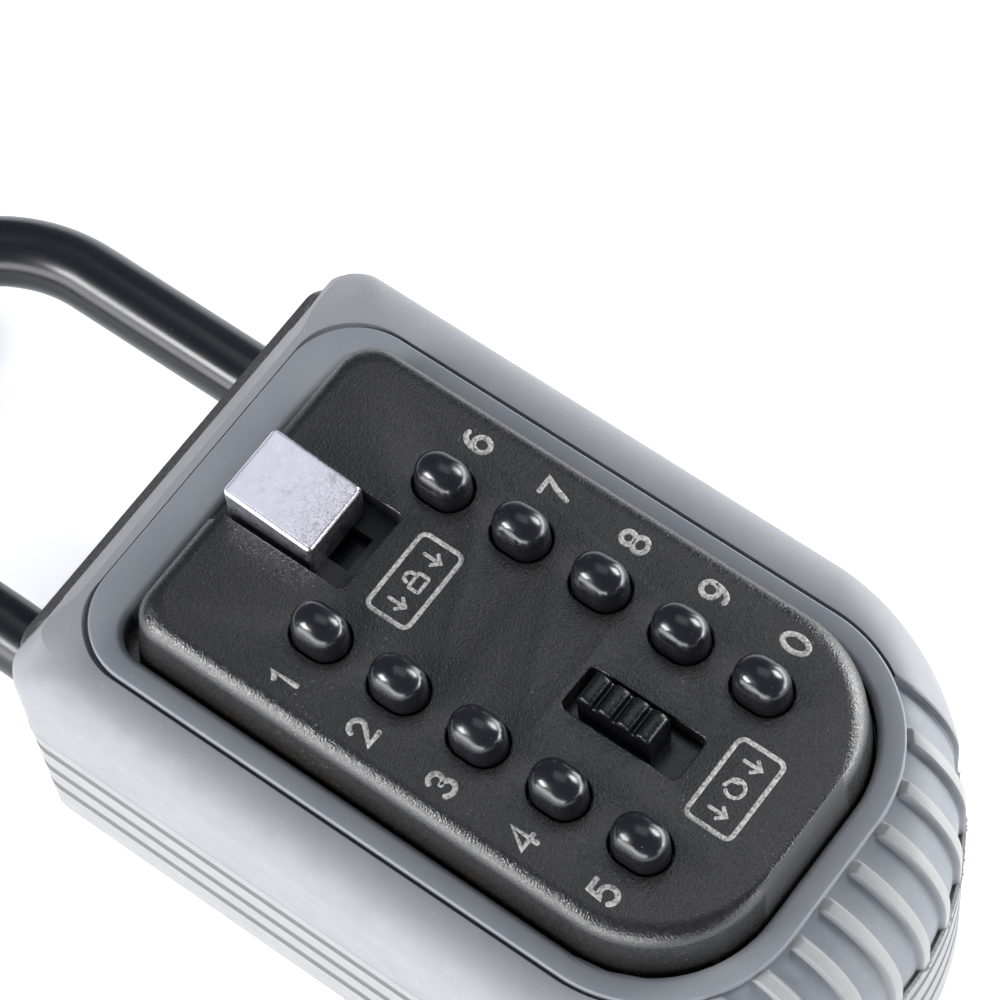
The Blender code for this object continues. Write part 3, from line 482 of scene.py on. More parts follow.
RUBBER = rubber_material()
POWDER = powder_material("plate_powder_coat", (0.0098, 0.0089, 0.0083), (0.30, 0.28, 0.25), 0.23, 0.075, True)
CASE_POWDER = powder_material("case_powder_coat", (0.050, 0.047, 0.046), (0.16, 0.155, 0.15), 0.5, 0.02)
PLASTIC = button_material()
SLIDER_PLASTIC = slider_material()
NICKEL = nickel_material()
SHEET_STEEL = steel_material("sheet_steel", (0.56, 0.56, 0.55), 0.36, (0.3, 3.0, 1.0))
TURNED_STEEL = steel_material("screw_steel", (0.62, 0.61, 0.58), 0.28, (1.0, 1.0, 4.0))
SPRING_STEEL = steel_material("spring_wire", (0.46, 0.46, 0.48), 0.25, (1.0, 1.0, 1.0))
BRASS = steel_material("turned_brass", (0.78, 0.60, 0.28), 0.26, (1.0, 1.0, 5.0))
COATED = coated_material()
MARKING = print_material()


# ---- rubber boot and case ------------------------------------------------------------------------
def tread_x():
    """X values across the far end, close together at the ribs' edges and the tread's ends."""
    values = {0.0}
    near_edge = (0.0, 0.35, 0.55, 0.7, 0.8, 0.9, 1.0, 1.1, 1.2, 1.35, 1.6, 2.2)
    for centre in RIB_X:
        for offset in near_edge:
            values.add(round(centre + offset * MM, 6))
            values.add(round(centre - offset * MM, 6))
    for offset in (-1.4, -0.6, -0.3, -0.1, 0.1):
        values.add(round(TREAD_HALF_WIDTH + offset * MM, 6))
        values.add(round(-TREAD_HALF_WIDTH - offset * MM, 6))
    return sorted(v for v in values if abs(v) <= TREAD_HALF_WIDTH + 0.11 * MM)


TREAD_X = tread_x()
TREAD_END = TREAD_X[-1]


def crease_place(turn):
    """Share of the way from bead to wall where the crisp edge lies, at a turn round the corner."""
    wall_corner = (BOOT_HALF_WIDTH - 4.5 * MM, BOOT_TOP_Y - 4.5 * MM)
    bead_corner = (BEAD_OUTER[0] - BEAD_OUTER[3], BEAD_OUTER[1] - BEAD_OUTER[3])
    width = (wall_corner[0] - bead_corner[0]) * math.cos(turn)
    width += (wall_corner[1] - bead_corner[1]) * math.sin(turn)
    width += 4.5 * MM - BEAD_OUTER[3]
    return 1.0 - SHACKLE_END_CHAMFER / width


def shoulder_share(angle, turn, end):
    """(how far out, how far down the chamfer) at this level; end is 1 at the shackle end."""
    level = angle / (math.pi / 2.0)
    down = max(0.0, (level - SHACKLE_END_CREASE) / (1.0 - SHACKLE_END_CREASE))
    crease = crease_place(turn)
    out = mix(crease, 1.0, down) if down > 0.0 else crease * level / SHACKLE_END_CREASE
    return mix(math.sin(angle), out, end), down


def body_ring(rule, side_steps=34, corner_steps=16):
    """One ring of the body, from the far end up both sides to the shackle end.

    rule(far, turn) gives (outline, z) for a point of the ring: far is 1 in the middle of the far
    end and 0 at the sides, turn goes from 0 to 90 degrees round the shackle end's corners.
    """
    points = []
    for x in TREAD_X:
        outline, z = rule(math.sqrt(1.0 - (x / BOOT_HALF_WIDTH) ** 2), 0.0)
        flat = outline[0] - outline[4]
        over = max(abs(x) - flat, 0.0)
        points.append((x, outline[2] + outline[4] - math.sqrt(max(outline[4] ** 2 - over ** 2, 0.0)), z))
    right = []
    outer_start = math.acos(TREAD_END / BOOT_HALF_WIDTH)
    for i in range(1, side_steps + 1):
        left_over = 1.0 - i / side_steps
        outline, z = rule(math.sin(outer_start * left_over), 0.0)
        flat = outline[0] - outline[4]
        start = math.acos(min(1.0, (TREAD_END - flat) / outline[4]))
        angle = start * left_over
        across, up = outline[4] * math.cos(angle), outline[4] * (1.0 - math.sin(angle))
        right.append((flat + across, outline[2] + up, z))
    for i in range(corner_steps + 1):
        turn = math.pi / 2.0 * i / corner_steps
        outline, z = rule(0.0, turn)
        x = outline[0] - outline[3] * (1.0 - math.cos(turn))
        y = outline[1] - outline[3] * (1.0 - math.sin(turn))
        right.append((x, y, z))
    left = [(-x, y, z) for x, y, z in reversed(right)]
    return points + right + left


def wall_outline(inset, y_top):
    wall = BOOT_HALF_WIDTH - inset
    return (wall, y_top, BOOT_BOTTOM_Y + inset, 4.5 * MM, wall)


def shoulder_ring(angle, inset=0.0, y_top=BOOT_TOP_Y):
    """Ring round the shoulder: 0 degrees at the bead, 90 where the wall starts."""
    wall = wall_outline(inset, y_top)
    scale = 1.0 - inset / SIDE_DROP

    def rule(far, turn):
        end = smooth(turn, math.radians(30.0), math.radians(88.0))
        out, down_end = shoulder_share(angle, turn, end)
        outline = tuple(mix(a, b, out) for a, b in zip(BEAD_OUTER, wall))
        drop = mix(SIDE_DROP, FAR_DROP, far ** 1.5) * (1.0 - math.cos(angle))
        drop = mix(drop, SHACKLE_END_DROP * down_end, end)
        return outline, SHOULDER_Z - inset - drop * scale

    return body_ring(rule)


def level_ring(outline, z):
    return body_ring(lambda far, turn: (outline, z))


def rib_height(x, out):
    """1 on a rib or on the smooth side, 0 in a valley; out is the distance outside the bead."""
    side = beside_tread(x)
    nearest = min(abs(x - centre) for centre in RIB_X)
    corner = 0.45 * MM
    across = nearest - RIB_HALF + corner
    along = RIB_START - out + corner
    gap = math.hypot(max(across, 0.0), max(along, 0.0)) + min(max(across, along), 0.0) - corner
    crown = 0.93 + 0.07 * (1.0 - min(nearest / RIB_HALF, 1.0) ** 2)
    return max(side, crown * (1.0 - smooth(gap, -0.32 * MM, 0.22 * MM)))


def beside_tread(x):
    """0 across the tread and 1 on the smooth sides."""
    return smooth(abs(x), TREAD_HALF_WIDTH - 0.45 * MM, TREAD_HALF_WIDTH)


def rib_height_outside(x):
    """The ribs' height where the bead is far away."""
    return rib_height(x, 10.0 * MM)


def sunk(ring, depth, height):
    """Press the tread's valleys in; height(x) is 1 where the ring stays where it is."""
    points = []
    for i, (x, y, z) in enumerate(ring):
        if i < len(TREAD_X):
            press = depth * (1.0 - height(x))
            points.append((x * (1.0 - 0.6 * press / BOOT_HALF_WIDTH), y + 0.7 * press, z - 0.7 * press))
        else:
            points.append((x, y, z))
    return points


def body_solid(inset, y_top, z_back, back_round, steps=14):
    """The body's form moved in by inset, without bead, tread and grip grooves."""
    rings = [shoulder_ring(math.pi / 2.0 * k / steps, inset, y_top) for k in range(steps + 1)]
    wall = wall_outline(inset, y_top)
    rings.append(level_ring(wall, PARTING_Z))
    for k in range(5):
        angle = math.pi / 2.0 * k / 4
        pull = back_round * (1.0 - math.cos(angle))
        ring_outline = (wall[0] - pull, wall[1], wall[2] + pull, wall[3], wall[4] - pull)
        rings.append(level_ring(ring_outline, z_back + back_round * (1.0 - math.sin(angle))))
    return loft(rings)


# degrees down the shoulder, close together where the ribs start and at the shackle end's crisp edge
SHOULDER_LEVELS = [4.2, 4.5, 4.8, 5.1, 5.4, 5.7, 6.1, 6.6, 7.4, 8.6, 10.5, 13.0, 16.0, 19.0, 22.0, 25.0]
SHOULDER_LEVELS += [27.2, 27.9, 28.6] + [30.0 + 3.0 * k for k in range(21)]


def boot_skin():
    """Outside of the boot: bead, groove, ribbed shoulder, parting line, grip grooves and back."""
    rings = [
        level_ring(grown(BEAD_INNER, -0.6 * MM), 34.0 * MM),
        level_ring(grown(BEAD_INNER, -0.6 * MM), BEAD_Z - 0.9 * MM),
    ]
    for k in range(7):
        angle = math.pi / 2.0 * k / 6
        rings.append(level_ring(grown(BEAD_INNER, -0.6 * MM + 1.0 * MM * (1.0 - math.cos(angle))),
                                BEAD_Z - 0.95 * MM + 0.95 * MM * math.sin(angle)))
    rings.append(level_ring(tuple(mix(a, b, 0.55) for a, b in zip(BEAD_INNER, BEAD_OUTER)), BEAD_Z))
    for k in range(6):
        angle = math.pi / 2.0 * k / 5
        rings.append(level_ring(grown(BEAD_OUTER, -0.35 * MM + 0.35 * MM * math.sin(angle)),
                                BEAD_Z - 0.05 * MM - 0.35 * MM * (1.0 - math.cos(angle))))
    groove_z = SHOULDER_Z - 1.1 * MM
    rings.append(level_ring(grown(BEAD_OUTER, 0.02 * MM), groove_z + 0.15 * MM))
    rings.append(sunk(level_ring(grown(BEAD_OUTER, 0.12 * MM), groove_z), 0.3 * MM, beside_tread))
    rings.append(sunk(level_ring(grown(BEAD_OUTER, 0.36 * MM), groove_z), 0.4 * MM, beside_tread))
    rings.append(sunk(level_ring(grown(BEAD_OUTER, 0.46 * MM), groove_z + 0.25 * MM), 0.7 * MM, beside_tread))
    reach = -BOOT_BOTTOM_Y + BEAD_OUTER[2]
    for degrees in SHOULDER_LEVELS:
        angle = math.radians(degrees)
        out = reach * math.sin(angle)
        rings.append(sunk(shoulder_ring(angle), TREAD_DEPTH, lambda x, o=out: rib_height(x, o)))
    wall = wall_outline(0.0, BOOT_TOP_Y)
    rings.append(sunk(level_ring(wall, PARTING_Z + 0.5 * MM), TREAD_DEPTH, rib_height_outside))
    rings.append(sunk(level_ring(wall, PARTING_Z + 0.12 * MM), TREAD_DEPTH, rib_height_outside))
    rings.append(sunk(level_ring(grown(wall, 0.12 * MM), PARTING_Z), TREAD_DEPTH * 0.3, rib_height_outside))
    rings.append(level_ring(wall, PARTING_Z - 0.12 * MM))
    for z in GRIP_GROOVES_Z:
        rings.append(level_ring(wall, z + 1.20 * MM))
        for k in range(11):
            angle = math.pi * k / 10
            depth = GRIP_GROOVE_DEPTH * math.sin(angle) ** 1.3
            rings.append(level_ring(grown(wall, -depth), z + 1.05 * MM * math.cos(angle)))
        rings.append(level_ring(wall, z - 1.20 * MM))
    edge = 1.2 * MM
    for k in range(6):
        angle = math.pi / 2.0 * k / 5
        rings.append(level_ring(grown(wall, -edge * (1.0 - math.cos(angle))), edge * (1.0 - math.sin(angle))))
    return rings


def mark_raised(item, rule):
    """Store rule(point) as the attribute that the materials read as raised or worn, and the plate's coat as
    outside its painted shade.
    """
    layer = item.data.attributes.new("raised", "FLOAT", "POINT")
    values = [rule(vertex.co) for vertex in item.data.vertices]
    layer.data.foreach_set("value", values)


def boot_raised(point):
    """Ribs and the smooth side are warmer than the valleys, the bead is the coolest."""
    if point.z > SHOULDER_Z + 0.1 * MM:
        return 0.0
    if point.z < PARTING_Z - 0.2 * MM:
        return 0.55
    if point.y < -30.0 * MM and abs(point.x) < TREAD_HALF_WIDTH:
        return 0.75 * rib_height(point.x, 10.0 * MM)
    return 0.30


def make_boot():
    boot = mesh_object("rubber_boot_skin", *loft(boot_skin()))
    window = loft([shield(grown(BEAD_INNER, -0.6 * MM), z) for z in (30.0 * MM, BEAD_Z - 0.9 * MM)])
    hollow = body_solid(3.0 * MM, BOOT_TOP_Y + 5.0 * MM, 2.2 * MM, 0.6 * MM)
    carved(boot, [("DIFFERENCE", hollow), ("DIFFERENCE", window)])
    mark_raised(boot, boot_raised)
    placed(boot, "case", RUBBER, ["rubber_boot"])


def make_flash():
    """Torn moulding flash along the parting line, where the ribs end."""
    draw = random.Random(7)
    wall = BOOT_HALF_WIDTH
    centre_y = BOOT_BOTTOM_Y + wall
    upper = []
    lower = []
    steps = 260
    for k in range(steps + 1):
        x = mix(-TREAD_HALF_WIDTH, TREAD_HALF_WIDTH, k / steps)
        near_rib = rib_height(x, 10.0 * MM)
        width = (0.10 + 0.30 * draw.random() * near_rib) * MM
        if draw.random() < 0.12:
            width += 0.25 * MM * draw.random()
        angle = math.asin(x / wall)
        lift = draw.uniform(-0.05, 0.12) * MM
        inner = (wall - 0.35 * MM) * math.sin(angle), centre_y - (wall - 0.35 * MM) * math.cos(angle)
        outer = (wall + width) * math.sin(angle), centre_y - (wall + width) * math.cos(angle)
        upper.append(((*inner, PARTING_Z + 0.10 * MM), (*outer, PARTING_Z + 0.07 * MM + lift)))
        lower.append(((*inner, PARTING_Z - 0.06 * MM), (*outer, PARTING_Z + 0.01 * MM + lift)))
    rings = [[u[0], u[1], w[1], w[0]] for u, w in zip(upper, lower)]
    flash = mesh_object("moulding_flash", *loft(rings))
    mark_raised(flash, lambda point: 1.0)
    placed(flash, "case", RUBBER)


def make_case():
    inset = 3.3 * MM
    case = mesh_object("case_casting", *loft_case(inset))
    long_low, long_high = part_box("shackle")
    leg_x = (long_high.x - long_low.x) / 2.0 - SHACKLE_R
    steps = [
        ("DIFFERENCE", loft([shield((26.0 * MM, 49.0 * MM, -40.2 * MM, 5.5 * MM, 17.3 * MM), z)
                             for z in (36.9 * MM, 60.0 * MM)])),
        ("DIFFERENCE", loft([shield((23.6 * MM, 46.6 * MM, -37.6 * MM, 4.5 * MM, 15.5 * MM), z)
                             for z in (32.5 * MM, 37.9 * MM)])),
        ("DIFFERENCE", loft([shield((30.2 * MM, 54.5 * MM, -48.6 * MM, 4.0 * MM, 29.0 * MM), z)
                             for z in (5.2 * MM, 33.5 * MM)])),
    ]
    for side, end_y in ((1.0, 32.5 * MM), (-1.0, -16.0 * MM)):
        x0, x1 = sorted((side * 16.6 * MM, side * 31.5 * MM))
        steps.append(("UNION", block(x0, x1, end_y, 56.0 * MM, 4.0 * MM, 19.4 * MM)))
        bore_r = 5.2 * MM
        profile = [(end_y - 5.0 * MM, bore_r), (CASE_TOP_Y - 0.7 * MM, bore_r),
                   (CASE_TOP_Y + 0.1 * MM, bore_r + 0.8 * MM)]
        steps.append(("DIFFERENCE", turned((side * leg_x, 0.0, 12.0 * MM), "Y", profile)))
    steps.append(("DIFFERENCE", block(15.0 * MM, 22.0 * MM, 38.5 * MM, 41.1 * MM, 8.2 * MM, 15.8 * MM)))
    steps.append(("DIFFERENCE", column(-19.1 * MM, 20.0 * MM, 4.2 * MM, 25.0 * MM, 1.5 * MM)))
    for y in (33.2 * MM, 46.4 * MM):
        steps.append(("DIFFERENCE", column(10.0 * MM, y, 3.5 * MM, 7.2 * MM, 1.3 * MM)))
    carved(case, steps)
    placed(case, "case", CASE_POWDER, ["rear_case"])


def loft_case(inset):
    """The case's outside, with a chamfer round its bare end."""
    return body_solid(inset, CASE_TOP_Y, 2.5 * MM, 0.8 * MM)


# ---- shackle -------------------------------------------------------------------------------------
shackle_low, shackle_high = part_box("shackle")
SHACKLE_R = (shackle_high.z - shackle_low.z) / 2.0
SHACKLE_X = shackle_high.x - SHACKLE_R
SHACKLE_Z = (shackle_high.z + shackle_low.z) / 2.0
BEND_Y = shackle_high.y - SHACKLE_R - SHACKLE_X
SHORT_END_Y = 36.5 * MM


def make_shackle():
    def ring_at(x, y, turn, radius):
        points = []
        for k in range(56):
            around = 2.0 * math.pi * k / 56
            out = radius * math.cos(around)
            z = SHACKLE_Z + radius * math.sin(around)
            points.append((x - out * math.cos(turn), y + out * math.sin(turn), z))
        return points

    rings = []
    nose = 0.9 * MM
    low_y = shackle_low.y
    for k in range(5):
        angle = math.pi / 2.0 * k / 4
        pull = nose * (1.0 - math.sin(angle))
        rings.append(ring_at(-SHACKLE_X, low_y + nose * (1.0 - math.cos(angle)), 0.0, SHACKLE_R - pull))
    bend_steps = 72
    for k in range(bend_steps + 1):
        turn = math.pi * k / bend_steps
        x, y = -SHACKLE_X * math.cos(turn), BEND_Y + SHACKLE_X * math.sin(turn)
        rings.append(ring_at(x, y, turn, SHACKLE_R))
    for k in reversed(range(5)):
        angle = math.pi / 2.0 * k / 4
        pull = nose * (1.0 - math.sin(angle))
        y = SHORT_END_Y + nose * (1.0 - math.cos(angle))
        rings.append(ring_at(SHACKLE_X, y, math.pi, SHACKLE_R - pull))
    shackle = mesh_object("shackle_bar", *loft(rings))
    inner = SHACKLE_X - SHACKLE_R
    notch_y = SHORT_END_Y + 2.0 * MM
    notch = block(inner - 1.0 * MM, inner + 2.4 * MM, notch_y, notch_y + 2.6 * MM, 0.0, 25.0 * MM)
    flat = block(-inner - 1.7 * MM, -inner + 1.0 * MM, -9.7 * MM, 21.8 * MM, 0.0, 25.0 * MM)
    carved(shackle, [("DIFFERENCE", notch), ("DIFFERENCE", flat)])
    placed(shackle, "shackle", COATED, ["shackle"])


# ---- keypad cover --------------------------------------------------------------------------------
EDGE = 2.6 * MM
COVER_OUTLINE = (24.4 * MM, 46.0 * MM, -39.1 * MM, 4.8 * MM, 16.5 * MM)
FACE_BACK_Z = PLATE_Z - 2.6 * MM
POCKET_FLOOR_Z = 46.7 * MM
POCKET = (-6.2 * MM, 6.2 * MM, 25.6 * MM)
SLOT = (-3.3 * MM, 3.3 * MM, -22.5 * MM, -5.3 * MM)


def cover_ring(spread, z):
    half_width, y_top, y_bottom, r_top, r_bottom = COVER_OUTLINE
    return shield((half_width + spread, y_top + spread, y_bottom - 0.5 * spread, r_top, r_bottom), z)


def soft_cutter(ring, low_z, lip):
    """Cutter whose wall flares where it leaves the plate, so that the hole has a soft edge.

    ring(grow, z) gives the hole's outline grown by grow.
    """
    rings = [ring(0.0, low_z), ring(0.0, PLATE_Z - lip)]
    for k in range(1, 5):
        angle = math.pi / 2.0 * k / 4
        rings.append(ring(lip * (1.0 - math.cos(angle)), PLATE_Z - lip * (1.0 - math.sin(angle))))
    rings.append(ring(lip * 1.6, PLATE_Z + 0.3 * MM))
    rings.append(ring(lip * 1.6, PLATE_Z + 5.0 * MM))
    return loft(rings)


def button_place(digit):
    low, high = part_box("push_button_%d" % digit)
    return (low.x + high.x) / 2.0, (low.y + high.y) / 2.0


def outside_painted_shade(point):
    """1 on the plate's face and rolled edge, 0 down in its pocket, slot and holes and inside it, where the
    coat gets painted shade.
    """
    if point.z > PLATE_Z - 0.3 * MM:
        return 1.0
    in_pocket = abs(point.x) < 7.0 * MM and point.y > POCKET[2] - 0.7 * MM
    half_width, y_top = COVER_OUTLINE[:2]
    low_corner = abs(point.x) + (-20.0 * MM - point.y) * 0.62 > half_width - EDGE * 1.7
    near_rim = (abs(point.x) > half_width - EDGE - 0.1 * MM or point.y > y_top - EDGE - 0.1 * MM
                or point.y < -20.0 * MM and low_corner)
    return 1.0 if near_rim and not in_pocket and point.z > cover_low.z - 1.0 * MM else 0.0


def make_cover():
    rings = [cover_ring(1.0 * MM, cover_low.z), cover_ring(1.0 * MM - 0.02 * MM, cover_low.z + 0.2 * MM)]
    rings.append(cover_ring(0.0, PLATE_Z - EDGE))
    for k in range(1, 13):
        angle = math.pi / 2.0 * k / 12
        rings.append(cover_ring(-EDGE * (1.0 - math.cos(angle)), PLATE_Z - EDGE * (1.0 - math.sin(angle))))
    cover = mesh_object("cover_casting", *loft(rings))
    steps = [("DIFFERENCE", loft([shield((22.2 * MM, 43.8 * MM, -36.9 * MM, 3.0 * MM, 14.3 * MM), z)
                                  for z in (30.0 * MM, FACE_BACK_Z)]))]
    weld_z = FACE_BACK_Z + 1.0 * MM
    pocket_body = block(-8.2 * MM, 8.2 * MM, 23.6 * MM, 45.0 * MM, POCKET_FLOOR_Z - 2.0 * MM, weld_z)
    spring_rib = block(-4.0 * MM, 4.0 * MM, 19.6 * MM, 21.8 * MM, 37.6 * MM, weld_z)
    steps += [("UNION", pocket_body), ("UNION", spring_rib)]
    for number in range(1, 5):
        low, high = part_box("backplate_screw_%d" % number)
        x, y = (low.x + high.x) / 2.0, (low.y + high.y) / 2.0
        steps.append(("UNION", column(x, y, 36.9 * MM, 48.4 * MM, 2.3 * MM, 32)))
        steps.append(("DIFFERENCE", column(x, y, 35.0 * MM, 44.0 * MM, 1.3 * MM)))

    def pocket(grow, z):
        return rounded(POCKET[0] - grow, POCKET[1] + grow, POCKET[2] - grow, 60.0 * MM, 1.0 * MM + grow, z)

    def slot(grow, z):
        return rounded(SLOT[0] - grow, SLOT[1] + grow, SLOT[2] - grow, SLOT[3] + grow, 0.8 * MM + grow, z)

    steps.append(("DIFFERENCE", soft_cutter(pocket, POCKET_FLOOR_Z, 0.3 * MM)))
    steps.append(("DIFFERENCE", soft_cutter(slot, 44.0 * MM, 0.22 * MM)))
    steps.append(("DIFFERENCE", block(-2.6 * MM, 2.6 * MM, 27.9 * MM, 39.4 * MM, 40.0 * MM, 48.0 * MM)))
    steps.append(("DIFFERENCE", column(-6.6 * MM, 45.3 * MM, 47.6 * MM, 52.0 * MM, 0.9 * MM, 32)))
    for digit in DIGITS:
        x, y = button_place(digit)

        def hole(grow, z, x=x, y=y):
            return stadium(x, y, 3.25 * MM + grow, 4.15 * MM + grow, z, 48)

        steps.append(("DIFFERENCE", soft_cutter(hole, 44.0 * MM, 0.25 * MM)))
    carved(cover, steps)
    mark_raised(cover, outside_painted_shade)
    placed(cover, "cover", POWDER, ["front_cover"])


# ---- markings ------------------------------------------------------------------------------------
def arc(cx, cy, rx, ry, start, end, steps=14):
    """Points on an ellipse from start to end, in degrees."""
    points = []
    for k in range(steps + 1):
        angle = math.radians(mix(start, end, k / steps))
        points.append((cx + rx * math.cos(angle), cy + ry * math.sin(angle)))
    return points


# Strokes of each digit in a cell 2 wide and 3 high, with (0, 0) in its middle.
DIGIT_STROKES = {
    0: [arc(0.0, 0.0, 0.92, 1.42, 90, 450, 28)],
    1: [[(-0.55, 0.85), (-0.1, 1.05), (0.12, 1.42), (0.12, -1.45)]],
    2: [arc(0.0, 0.62, 0.88, 0.80, 170, -28, 12) + [(0.55, 0.0), (-0.88, -1.38), (0.95, -1.38)]],
    3: [arc(-0.05, 0.72, 0.80, 0.70, 155, -80, 12) + [(-0.15, 0.03)],
        [(-0.15, 0.03)] + arc(-0.05, -0.66, 0.92, 0.74, 80, -155, 14)],
    4: [[(0.95, -0.62), (-1.0, -0.62), (0.42, 1.42), (0.42, -1.45)]],
    5: [[(0.82, 1.38), (-0.55, 1.38), (-0.80, 0.05)] + arc(-0.02, -0.50, 0.92, 0.92, 140, -150, 16)],
    6: [arc(0.0, -0.52, 0.88, 0.90, 180, -180, 20), arc(0.22, -0.40, 1.10, 1.84, 180, 75, 12)],
    7: [[(-0.92, 1.36), (0.92, 1.36), (0.30, 0.10), (-0.22, -1.45)]],
    8: [arc(0.0, 0.72, 0.76, 0.70, 90, 450, 20), arc(0.0, -0.68, 0.92, 0.76, 90, 450, 22)],
    9: [arc(0.0, 0.52, 0.88, 0.90, 0, 360, 20), arc(-0.22, 0.40, 1.10, 1.84, 0, -105, 12)],
}


def stroke(path, width, z, closed=False):
    """Low, round-backed ribbon along a path in the plate, like paint laid in a groove."""
    points = [Vector(p) for p in path]
    if closed:
        points = points[:-1]
    last = len(points) - 1
    half = width / 2.0
    rings = []

    def section(centre, side, size):
        ring = []
        for a in range(10):
            angle = 2.0 * math.pi * a / 10
            shift = side * (half * size * math.cos(angle))
            ring.append((centre.x + shift.x, centre.y + shift.y, z + 0.07 * MM * size * math.sin(angle)))
        return ring

    for i, point in enumerate(points):
        before = points[i - 1] if i > 0 or closed else point
        after = points[(i + 1) % len(points)] if i < last or closed else point
        run_in = (point - before).normalized() if point != before else (after - point).normalized()
        run_out = (after - point).normalized() if after != point else run_in
        along = (run_in + run_out).normalized()
        side = Vector((-along.y, along.x))
        widen = min(1.0 / max(side.dot(Vector((-run_out.y, run_out.x))), 0.5), 1.5)
        if not closed and i == 0:
            rings.append(section(point - run_out * half * 0.75, side, 0.45))
            rings.append(section(point - run_out * half * 0.45, side, 0.85))
        rings.append(section(point, side * widen, 1.0))
        if not closed and i == last:
            rings.append(section(point + run_in * half * 0.45, side, 0.85))
            rings.append(section(point + run_in * half * 0.75, side, 0.45))
    return loft(rings, close=closed)


def marking(name, strokes, width):
    vertices, faces = [], []
    for path, closed in strokes:
        more, shapes = stroke(path, width, PLATE_Z - 0.005 * MM, closed)
        first = len(vertices)
        vertices += more
        faces += [tuple(first + i for i in shape) for shape in shapes]
    item = mesh_object(name, vertices, faces)
    placed(item, "cover", MARKING)


def make_markings():
    for digit in DIGITS:
        x, y = button_place(digit)
        cx = x + math.copysign(7.19 * MM, x)
        paths = []
        for path in DIGIT_STROKES[digit]:
            paths.append(([(cx + px * 1.17 * MM, y + 0.15 * MM + py * 1.27 * MM) for px, py in path], False))
        marking("digit_%d" % digit, paths, 0.74 * MM)
    for name, y0, y1 in (("open_label", 15.95 * MM, 22.2 * MM), ("clear_label", -32.1 * MM, -25.55 * MM)):
        frame_path = [(px, py) for px, py, _ in rounded(-5.95 * MM, 5.95 * MM, y0, y1, 0.95 * MM, 0.0)]
        marking(name + "_frame", [(frame_path + frame_path[:1], True)], 0.64 * MM)
        cy = (y0 + y1) / 2.0
        if name == "open_label":
            symbol = open_symbol(cy)
        else:
            symbol = clear_symbol(cy)
        marking(name + "_symbol", symbol, 0.50 * MM)


def arrow_down(cx, cy):
    tip = cy - 1.2 * MM
    shaft = [(cx, cy + 1.25 * MM), (cx, tip)]
    head = [(cx - 0.85 * MM, tip + 0.95 * MM), (cx, tip), (cx + 0.85 * MM, tip + 0.95 * MM)]
    return [(shaft, False), (head, False)]


def open_symbol(cy):
    """An open padlock between two arrows that point the way the lever slides."""
    outline = rounded(-1.15 * MM, 1.15 * MM, cy - 1.35 * MM, cy + 0.2 * MM, 0.25 * MM, 0.0, 3)
    body = [(px, py) for px, py, _ in outline]
    bow = [(px, py) for px, py in arc(0.0, cy + 0.75 * MM, 0.72 * MM, 0.72 * MM, 0, 180, 10)]
    bow = [(0.72 * MM, cy + 0.2 * MM)] + bow
    return [(body + body[:1], True), (bow, False)] + arrow_down(-3.6 * MM, cy) + arrow_down(3.6 * MM, cy)


def clear_symbol(cy):
    """A round arrow for starting again, between two arrows that point the way the slider moves."""
    ring = arc(0.0, cy, 1.2 * MM, 1.2 * MM, 60, -230, 20)
    tip = ring[0]
    head = [(tip[0] - 0.95 * MM, tip[1] + 0.35 * MM), tip, (tip[0] + 0.25 * MM, tip[1] - 1.0 * MM)]
    return [(ring, False), (head, False)] + arrow_down(-3.6 * MM, cy) + arrow_down(3.6 * MM, cy)


# ---- buttons and code dials ----------------------------------------------------------------------
CAP_DOME = 2.9 * MM
CAP_POWER = 2.05


def toward_oval(ring, centre, half_width, half_length, share):
    """Move a ring's points along Y towards an ellipse, by share."""
    x, y = centre
    points = []
    for px, py, pz in ring:
        reach = half_length * math.sqrt(max(0.0, 1.0 - ((px - x) / half_width) ** 2))
        points.append((px, mix(py, y + math.copysign(reach, py - y), share), pz))
    return points


def make_button(digit):
    x, y = button_place(digit)
    low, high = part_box("push_button_%d" % digit)
    half_width, half_length = 2.95 * MM, 3.85 * MM
    top = high.z
    flange_top = FACE_BACK_Z - 0.3 * MM
    flange_low = flange_top - 2.0 * MM
    stem = 1.5 * MM
    rings = [stadium(x, y, stem - 0.3 * MM, stem - 0.3 * MM, low.z),
             stadium(x, y, stem, stem, low.z + 0.3 * MM),
             stadium(x, y, stem, stem, flange_low)]
    wide = 0.9 * MM
    for grow, z in ((wide - 0.2 * MM, flange_low), (wide, flange_low + 0.2 * MM),
                    (wide, flange_top - 0.2 * MM), (wide - 0.2 * MM, flange_top)):
        rings.append(stadium(x, y, half_width + grow, half_length + grow, z))
    rings.append(stadium(x, y, half_width, half_length, flange_top))
    taper = 0.12 * MM
    shoulder_z = top - CAP_DOME
    for k in range(4):
        share = k / 3.0
        rings.append(stadium(x, y, half_width - taper * share, half_length - taper * share,
                             mix(PLATE_Z - 0.5 * MM, shoulder_z, share)))
    for k in range(1, 19):
        out = math.cos(math.pi / 2.0 * k / 18.5)
        width = (half_width - taper) * out
        height = shoulder_z + CAP_DOME * (1.0 - out ** CAP_POWER) ** (1.0 / CAP_POWER)
        straight = stadium(x, y, width, width + half_length - half_width, height)
        rings.append(toward_oval(straight, (x, y), width, (half_length - taper) * out,
                                 smooth(1.0 - out, 0.0, 0.5)))
    button = mesh_object("button_cap_%d" % digit, *loft(rings), sharp=60.0)
    placed(button, "button_%d" % digit, PLASTIC, ["push_button_%d" % digit])


